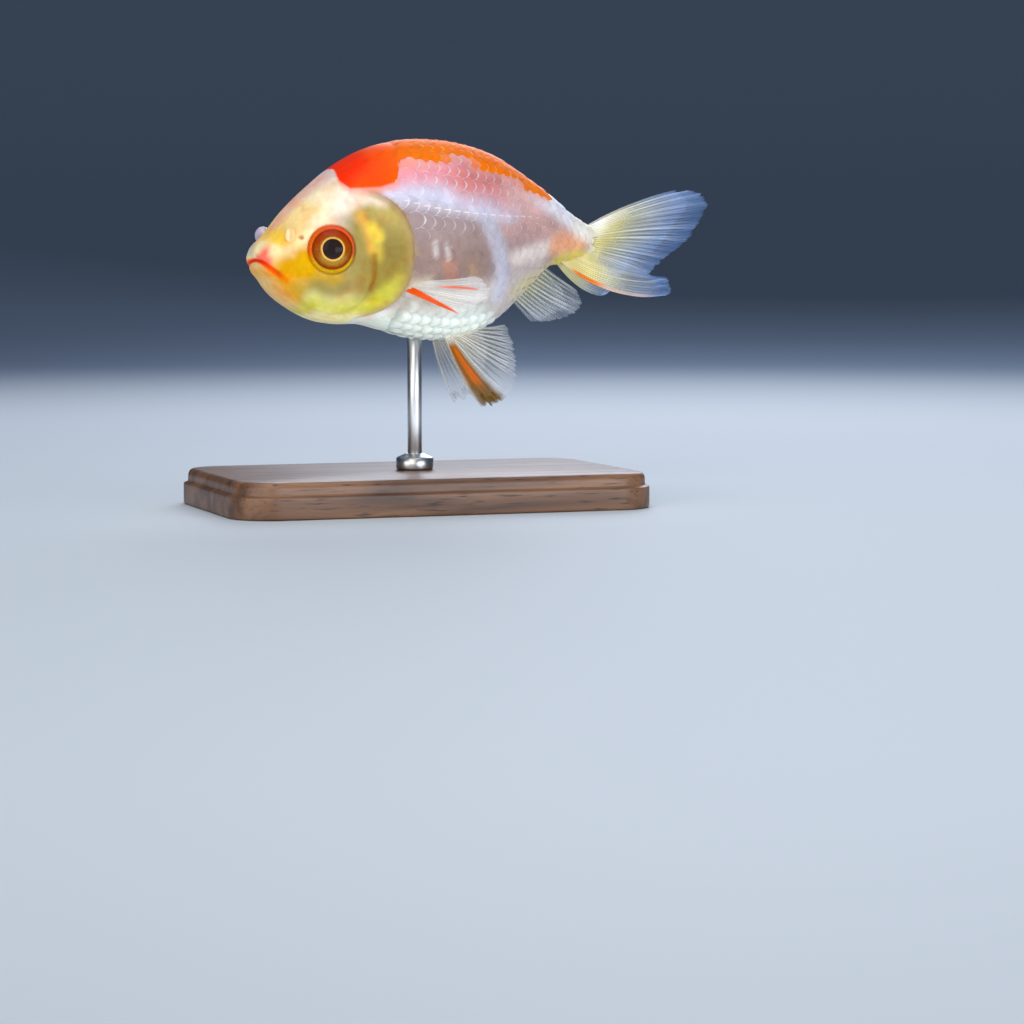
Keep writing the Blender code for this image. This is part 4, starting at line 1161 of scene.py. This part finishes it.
# %% [markdown]
# Wet skin is a thin clear layer over flesh. Light goes about a millimetre into it and comes out pinker,
# which is subsurface scattering, and the slime on top gives a weak gloss, which is the coat. A fish is seen in
# water, where its gloss is far weaker than in air, so the specular level and the coat are low. One shader
# does all this on one mesh. A second, clear shell over the skin could do it too, but it would cut into the
# scales.

# %% Wet fish skin
wet_skin, tree, place = new_material("wet_skin_over_flesh")
paint_in = node(tree, "ShaderNodeAttribute", attribute_name="paint").outputs["Color"]
# pigment cells crowd into flecks of about 1 mm, blood shows in clouds of about 2.5 mm, and pores are 0.2 mm
mottle = node(tree, "ShaderNodeTexNoise", {"Vector": place, "Scale": 900.0, "Detail": 5.0}).outputs["Fac"]
pores = node(tree, "ShaderNodeTexNoise", {"Vector": place, "Scale": 5200.0, "Detail": 2.0}).outputs["Fac"]
shade = node(tree, "ShaderNodeMapRange", {
    "Value": mottle, "From Min": 0.3, "From Max": 0.7, "To Min": 0.90, "To Max": 1.07,
}).outputs["Result"]
cloud = node(tree, "ShaderNodeTexNoise", {"Vector": place, "Scale": 420.0, "Detail": 3.0}).outputs["Fac"]
blush = node(tree, "ShaderNodeMapRange", {
    "Value": cloud, "From Min": 0.48, "From Max": 0.7, "To Max": 0.6,
}).outputs["Result"]
flesh = node(tree, "ShaderNodeMix", {0: blush, 6: paint_in, 7: rgba("#FFD8C8")}, data_type="RGBA",
             blend_type="MULTIPLY").outputs[2]
tinted = node(tree, "ShaderNodeHueSaturation", {"Color": flesh, "Value": shade, "Saturation": 1.03})
rough = node(tree, "ShaderNodeMapRange", {"Value": mottle, "To Min": 0.26, "To Max": 0.44}).outputs["Result"]
bump = node(tree, "ShaderNodeBump", {"Height": pores, "Strength": 0.12, "Distance": 0.00008})
shader = node(tree, "ShaderNodeBsdfPrincipled", {
    "Base Color": tinted.outputs["Color"], "Roughness": rough, "Normal": bump.outputs["Normal"],
    "Specular IOR Level": 0.04, "Subsurface Weight": 0.2, "Subsurface Radius": (1.0, 0.5, 0.35),
    "Subsurface Scale": 0.0008, "Coat Weight": 0.03, "Coat Roughness": 0.2,
})
node(tree, "ShaderNodeOutputMaterial", {"Surface": shader.outputs["BSDF"]})

# %% [markdown]
# A scale is clear bone over plates of guanine, a natural mother of pearl, which turns a flank silver where
# light falls on it. A little metallic gives that. Its hind margin is pale and thin, and shows as a net. The
# scales on the lateral line have a pore tube, which is drawn here as a short bright dash. The margin could
# be painted point by point, but a scale has only a few dozen points, so the nodes draw it from two numbers
# that each scale carries: how far back a place is on it, and how far to the side.

# %% Guanine backed scales
pearl_scale, tree, place = new_material("guanine_backed_scale")
paint_in, edge_in = (
    node(tree, "ShaderNodeAttribute", attribute_name=name).outputs["Color"] for name in ("paint", "edge_paint")
)
pearl_in, netted_in, growth, across_in, tube_in = (
    node(tree, "ShaderNodeAttribute", attribute_name=name).outputs["Fac"]
    for name in ("pearl", "netted", "growth", "across", "tube")
)
sideways = node(tree, "ShaderNodeMath", {0: across_in}, operation="ABSOLUTE").outputs["Value"]
outward = node(tree, "ShaderNodeMath", {0: growth, 1: sideways}, operation="MAXIMUM").outputs["Value"]
at_edge = node(tree, "ShaderNodeMapRange", {
    "Value": outward, "From Min": 0.88, "From Max": 0.955,
}, interpolation_type="SMOOTHSTEP").outputs["Result"]
edge_share = node(tree, "ShaderNodeMath", {0: at_edge, 1: netted_in}, operation="MULTIPLY").outputs["Value"]
rimmed = node(tree, "ShaderNodeMix", {0: edge_share, 6: paint_in, 7: edge_in}, data_type="RGBA").outputs[2]
thin_line = node(tree, "ShaderNodeMapRange", {
    "Value": sideways, "From Min": 0.11, "From Max": 0.03,
}).outputs["Result"]
dash = node(tree, "ShaderNodeMapRange", {
    "Value": growth, "From Min": 0.66, "From Max": 0.8, "To Max": 0.8,
}).outputs["Result"]
tube_share = node(tree, "ShaderNodeMath", {0: thin_line, 1: dash}, operation="MULTIPLY").outputs["Value"]
tube_share = node(tree, "ShaderNodeMath", {0: tube_share, 1: tube_in}, operation="MULTIPLY").outputs["Value"]
lined = node(tree, "ShaderNodeMix", {0: tube_share, 6: rimmed, 7: rgba("#FFEDE4")}, data_type="RGBA").outputs[2]
# the shine comes and goes in flecks of about 1.5 mm
mottle = node(tree, "ShaderNodeTexNoise", {"Vector": place, "Scale": 700.0, "Detail": 4.0}).outputs["Fac"]
shade = node(tree, "ShaderNodeMapRange", {
    "Value": mottle, "From Min": 0.3, "From Max": 0.7, "To Min": 0.90, "To Max": 1.08,
}).outputs["Result"]
tinted = node(tree, "ShaderNodeHueSaturation", {"Color": lined, "Value": shade})
# twelve growth rings to a scale, because the real ones, a few hundredths of a millimetre apart, can't show
turns = node(tree, "ShaderNodeMath", {0: growth, 1: 75.0}, operation="MULTIPLY").outputs["Value"]
rings = node(tree, "ShaderNodeMath", {0: turns}, operation="SINE").outputs["Value"]
bump = node(tree, "ShaderNodeBump", {"Height": rings, "Strength": 0.12, "Distance": 0.00004})
metal = node(tree, "ShaderNodeMath", {0: pearl_in, 1: 0.12}, operation="MULTIPLY").outputs["Value"]
rough = node(tree, "ShaderNodeMapRange", {"Value": mottle, "To Min": 0.34, "To Max": 0.5}).outputs["Result"]
shader = node(tree, "ShaderNodeBsdfPrincipled", {
    "Base Color": tinted.outputs["Color"], "Roughness": rough, "Metallic": metal, "Specular IOR Level": 0.05,
    "Normal": bump.outputs["Normal"], "Subsurface Weight": 0.12, "Subsurface Radius": (1.0, 0.5, 0.35),
    "Subsurface Scale": 0.0007, "Coat Weight": 0.02, "Coat Roughness": 0.25,
})
node(tree, "ShaderNodeOutputMaterial", {"Surface": shader.outputs["BSDF"]})

# %% [markdown]
# A fin's web is two skins with nothing between them, so it is mostly clear, and the rays are whitish bone.
# How much each place covers is in an attribute, and goes to Alpha. Glass-like transmission would bend the
# light in so thin a sheet for nothing, and Alpha is what every renderer and file knows. The eye sees the body
# and the floor through the web, and the rays as white lines.

# %% Fin web and soft rays
fin_web, tree, place = new_material("fin_web_and_soft_rays")
paint_in = node(tree, "ShaderNodeAttribute", attribute_name="paint").outputs["Color"]
cover_in = node(tree, "ShaderNodeAttribute", attribute_name="cover").outputs["Fac"]
# the web is a little thicker and thinner over 2.6 mm
cloud = node(tree, "ShaderNodeTexNoise", {"Vector": place, "Scale": 380.0, "Detail": 3.0}).outputs["Fac"]
thin = node(tree, "ShaderNodeMapRange", {
    "Value": cloud, "From Min": 0.3, "From Max": 0.7, "To Min": 0.86, "To Max": 1.1,
}).outputs["Result"]
alpha = node(tree, "ShaderNodeMath", {0: cover_in, 1: thin}, operation="MULTIPLY", use_clamp=True)
shader = node(tree, "ShaderNodeBsdfPrincipled", {
    "Base Color": paint_in, "Roughness": 0.4, "Specular IOR Level": 0.04, "Alpha": alpha.outputs["Value"],
})
node(tree, "ShaderNodeOutputMaterial", {"Surface": shader.outputs["BSDF"]})

# %% [markdown]
# In an eye the pigment lies under a clear, wet cornea. A doll's eye is a glass dome over a painted disc, and
# that could be made here too, but on an eye 6.6 mm wide a rough colour below a coat as sharp as glass looks
# the same and needs one mesh. It gives the eye its depth and one small bright reflection.

# %% Eye
eye_finish, tree, place = new_material("iris_under_clear_cornea")
paint_in = node(tree, "ShaderNodeAttribute", attribute_name="paint").outputs["Color"]
# the iris has fibres and specks of pigment 0.3 mm wide
fibres = node(tree, "ShaderNodeTexNoise", {"Vector": place, "Scale": 3200.0, "Detail": 4.0}).outputs["Fac"]
shade = node(tree, "ShaderNodeMapRange", {
    "Value": fibres, "From Min": 0.3, "From Max": 0.7, "To Min": 0.84, "To Max": 1.12,
}).outputs["Result"]
tinted = node(tree, "ShaderNodeHueSaturation", {"Color": paint_in, "Value": shade})
shader = node(tree, "ShaderNodeBsdfPrincipled", {
    "Base Color": tinted.outputs["Color"], "Roughness": 0.45, "Specular IOR Level": 0.05,
    "Coat Weight": 0.10, "Coat Roughness": 0.05, "Subsurface Weight": 0.1, "Subsurface Radius": (1.0, 0.4, 0.2),
    "Subsurface Scale": 0.0005,
})
node(tree, "ShaderNodeOutputMaterial", {"Surface": shader.outputs["BSDF"]})

# %% [markdown]
# Walnut is brown heartwood with darker growth bands about 3 mm apart, cut along the grain so that they run
# the length of the plinth, and short open pores that oil leaves dark. A wave pattern gives bands that are too
# even for a tree, so a noise is stretched along the grain instead, a coarse one for the bands and a fine one
# for the pores. Oil leaves a low sheen, which is the weak coat.

# %% Oiled walnut
walnut, tree, place = new_material("oiled_walnut")
grain = node(tree, "ShaderNodeMapping", {"Vector": place, "Scale": (0.10, 1.0, 0.7)}).outputs["Vector"]
bands = node(tree, "ShaderNodeTexNoise", {"Vector": grain, "Scale": 330.0, "Detail": 6.0, "Distortion": 0.6})
# pores 0.24 mm wide and 4 mm long
streak = node(tree, "ShaderNodeMapping", {"Vector": place, "Scale": (0.06, 1.0, 1.0)}).outputs["Vector"]
fine = node(tree, "ShaderNodeTexNoise", {"Vector": streak, "Scale": 4200.0, "Detail": 2.0}).outputs["Fac"]
heart = node(tree, "ShaderNodeValToRGB", {"Fac": bands.outputs["Fac"]})
for stop, at, colour in zip(heart.color_ramp.elements, (0.34, 0.68), ("#4A2E1C", "#8A6142")):
    stop.position, stop.color = at, rgba(colour)
open_pores = node(tree, "ShaderNodeMapRange", {
    "Value": fine, "From Min": 0.60, "From Max": 0.72,
}).outputs["Result"]
wood = node(tree, "ShaderNodeMix", {
    0: open_pores, 6: heart.outputs["Color"], 7: rgba("#2A1910"),
}, data_type="RGBA")
rough = node(tree, "ShaderNodeMapRange", {"Value": fine, "To Min": 0.34, "To Max": 0.52}).outputs["Result"]
bump = node(tree, "ShaderNodeBump", {"Height": fine, "Strength": 0.25, "Distance": 0.00006})
shader = node(tree, "ShaderNodeBsdfPrincipled", {
    "Base Color": wood.outputs[2], "Roughness": rough, "Normal": bump.outputs["Normal"], "Coat Weight": 0.15,
    "Coat Roughness": 0.3,
})
node(tree, "ShaderNodeOutputMaterial", {"Surface": shader.outputs["BSDF"]})

# %% [markdown]
# The rod and the collar are stainless steel turned on a lathe, which leaves fine rings round them, so their
# gloss is drawn out along the rod. Anisotropic shading gives that on a smooth surface, but it needs tangents
# that follow the turning. A noise that changes almost only along the axis needs none: it varies the roughness
# and adds a very slight relief.

# %% Turned stainless steel
steel, tree, place = new_material("turned_stainless_steel")
lathe = node(tree, "ShaderNodeMapping", {"Vector": place, "Scale": (0.02, 0.02, 1.0)}).outputs["Vector"]
# rings 0.1 mm apart, which is coarser than a real cut, so that they show
marks = node(tree, "ShaderNodeTexNoise", {"Vector": lathe, "Scale": 9000.0, "Detail": 3.0}).outputs["Fac"]
rough = node(tree, "ShaderNodeMapRange", {"Value": marks, "To Min": 0.22, "To Max": 0.42}).outputs["Result"]
bump = node(tree, "ShaderNodeBump", {"Height": marks, "Strength": 0.2, "Distance": 0.00003})
shader = node(tree, "ShaderNodeBsdfPrincipled", {
    "Base Color": rgba("#C3C5C7"), "Metallic": 1.0, "Roughness": rough, "Normal": bump.outputs["Normal"],
})
node(tree, "ShaderNodeOutputMaterial", {"Surface": shader.outputs["BSDF"]})

# %% [markdown]
# Every piece gets its finish and is hung under the root body, and the plain solids that it takes the place of
# are hidden. One table says all of it, so that nothing is forgotten; its slot column is not used.


# %% Put the finishes on, and hide the solids that each piece stands for
def solids_of(fin):
    """The tail fin of one side stands for both its lobes, and any other fin for its own solid."""
    return [fin.replace("fin", lobe) for lobe in ("lobe_upper", "lobe_lower")] if "tail" in fin else [fin]


FLESH = ("head", "lower_jaw", "trunk", "tail_stalk", "gill_cover_left", "gill_cover_right")
dressed = [
    (skin, wet_skin, "skin", FLESH),
    (scales_left, pearl_scale, "skin", ()),
    (scales_right, pearl_scale, "skin", ()),
    (eyes["ball_left"], eye_finish, "eye", ("eye_left",)),
    (eyes["ball_right"], eye_finish, "eye", ("eye_right",)),
    (flaps["flap_left"], wet_skin, "nasal_flap", ("nasal_flap_left",)),
    (flaps["flap_right"], wet_skin, "nasal_flap", ("nasal_flap_right",)),
    (plinth, walnut, "wood", ("stand_base",)),
    (rod, steel, "steel", ("stand_rod",)),
    (collar, steel, "steel", ("stand_collar",)),
    *[(piece, fin_web, "fin", solids_of(name)) for name, piece in fins.items()],
]
for piece, material, slot, solids in dressed:
    piece.data.materials.append(material)
    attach(piece, "root")
    if solids:
        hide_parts(*solids)
print("pieces:", len(dressed))

# %% [markdown]
# ## Stage, light and camera
# The floor is pale round the stand and falls to slate further out, because a pale fin shows only before
# something darker. A wide soft box overhead stands for the lamp over a tank, one at the camera's left lights
# the near flank, and one behind makes the fins glow. A low one before the snout and a low one at the right
# fill the shadows, and a card under the fish throws some light up at the belly. The camera is level with the
# mouth and looks at the left side from a little in front. The floor is matt paint on one swept sheet, so that
# no corner or edge shows behind the fish.

# %% Floor paint
floor_paint, tree, place = new_material("floor_paint")
far = node(tree, "ShaderNodeVectorMath", {0: place}, operation="LENGTH").outputs["Value"]
fall = node(tree, "ShaderNodeMapRange", {
    "Value": far, "From Min": 0.20, "From Max": 0.56,
}, interpolation_type="SMOOTHSTEP").outputs["Result"]
tone = node(tree, "ShaderNodeMix", {0: fall, 6: rgba("#C9D1DA"), 7: rgba("#566478")}, data_type="RGBA")
shader = node(tree, "ShaderNodeBsdfPrincipled", {"Base Color": tone.outputs[2], "Roughness": 0.7})
node(tree, "ShaderNodeOutputMaterial", {"Surface": shader.outputs["BSDF"]})

# %% Floor
# metres from the middle and height: flat round the stand, then curving up to a low wall on all sides
SWEEP = np.array(
    [(0.05, 0.0), (0.3, 0.0), (0.6, 0.0), (0.75, 0.02), (0.9, 0.09), (1.0, 0.22), (1.04, 0.4), (1.05, 0.7)]
)
SWEEP_RINGS, SWEEP_TURNS = 60, 96
sweep = smooth_line(SWEEP, SWEEP_RINGS)
sweep[:, 1] = np.maximum(sweep[:, 1], 0.0)
bowl = turned(sweep, SWEEP_TURNS)
here = np.arange(SWEEP_TURNS)
middle = np.full(SWEEP_TURNS, SWEEP_RINGS * SWEEP_TURNS)
middle_fan = np.stack([middle, here, (here + 1) % SWEEP_TURNS], axis=-1)
bowl_quads = quads_of(SWEEP_RINGS, SWEEP_TURNS, around=True)[:, ::-1]
floor = add_piece("floor", np.vstack([bowl.reshape(-1, 3), (0.0, 0.0, 0.0)]), bowl_quads, middle_fan)
floor.data.materials.append(floor_paint)
print("floor, m across:", 2 * SWEEP[-1, 0])

# %% World and lamps
world = bpy.data.worlds.new("studio")
bpy.context.scene.world = world
world.use_nodes = True
world.node_tree.nodes.clear()
sky = node(world.node_tree, "ShaderNodeBackground", {"Color": rgba("#93A0AE"), "Strength": 0.75})
node(world.node_tree, "ShaderNodeOutputWorld", {"Surface": sky.outputs["Background"]})


def soft_box(name, place, aim, width, height, watts, hex_colour):
    """A rectangular area lamp at place, turned to aim."""
    lamp = bpy.data.lights.new(name, "AREA")
    lamp.shape, lamp.size, lamp.size_y = "RECTANGLE", width, height
    lamp.energy, lamp.color = watts, linear(hex_colour)
    holder = bpy.data.objects.new(name, lamp)
    holder.location = place
    holder.rotation_mode = "QUATERNION"
    away = holder.location - type(holder.location)(aim)
    holder.rotation_quaternion = away.to_track_quat("Z", "Y")
    bpy.context.scene.collection.objects.link(holder)
    return holder


HEART = (0.0, 0.0, 0.036)  # the fish's middle, which the lamps are turned to
soft_box("overhead", (-0.05, -0.12, 0.60), HEART, 0.5, 0.5, 1.65, "#FFFFFF")
soft_box("near_side", (-0.42, -0.56, 0.27), HEART, 0.45, 0.42, 1.7, "#FFF8F0")
soft_box("behind", (0.30, 0.50, 0.34), HEART, 0.4, 0.4, 2.0, "#EAF1FF")
soft_box("face", (-0.56, -0.22, 0.085), HEART, 0.3, 0.13, 0.6, "#FFFAF2")
card = soft_box("bounce", (-0.01, -0.058, 0.002), (-0.01, -0.058, 1.0), 0.12, 0.07, 0.048, "#F4FBFF")
card.visible_camera = False  # it stands for a white card on the table, just out of view
soft_box("low_fill", (0.22, -0.62, 0.085), HEART, 0.5, 0.13, 1.6, "#F2F6FF")
print("lamps:", len(bpy.data.lights))

# %% Camera
CAMERA_AZIMUTH = math.radians(-20.0)  # 0 looks straight at the left side
CAMERA_DISTANCE = 0.40
VIEW_WIDTH = 0.14336  # m across the view at the fish's middle
right_hand = np.array((math.cos(CAMERA_AZIMUTH), math.sin(CAMERA_AZIMUTH), 0.0))
towards = np.array((math.sin(CAMERA_AZIMUTH), -math.cos(CAMERA_AZIMUTH), 0.0))
snout_at = np.array((-ROD_X * MM, 0.0, 0.0)) @ right_hand
across = snout_at + 0.256 * VIEW_WIDTH  # the snout stands a quarter of the way in from the left
eye_level = MOUTH_HEIGHT * MM
centre_height = eye_level - 0.244 * VIEW_WIDTH  # and the mouth a quarter of the way down
SENSOR_WIDTH = 36.0  # mm, as on a full-frame camera
camera_place = right_hand * across + towards * CAMERA_DISTANCE + np.array((0.0, 0.0, eye_level))
look_at = right_hand * across + np.array((0.0, 0.0, centre_height))
camera = bpy.data.objects.new("camera", bpy.data.cameras.new("camera"))
camera.location = camera_place
gaze = camera.location - type(camera.location)(look_at)
camera.rotation_mode = "QUATERNION"
camera.rotation_quaternion = gaze.to_track_quat("Z", "Y")
camera.data.sensor_width = SENSOR_WIDTH
camera.data.lens = SENSOR_WIDTH * gaze.length / VIEW_WIDTH
camera.data.clip_start, camera.data.clip_end = 0.01, 20.0
bpy.context.scene.collection.objects.link(camera)
bpy.context.scene.camera = camera
bpy.context.scene.view_settings.view_transform = "Standard"
print("camera at", camera_place.round(4), "lens", round(camera.data.lens, 1))
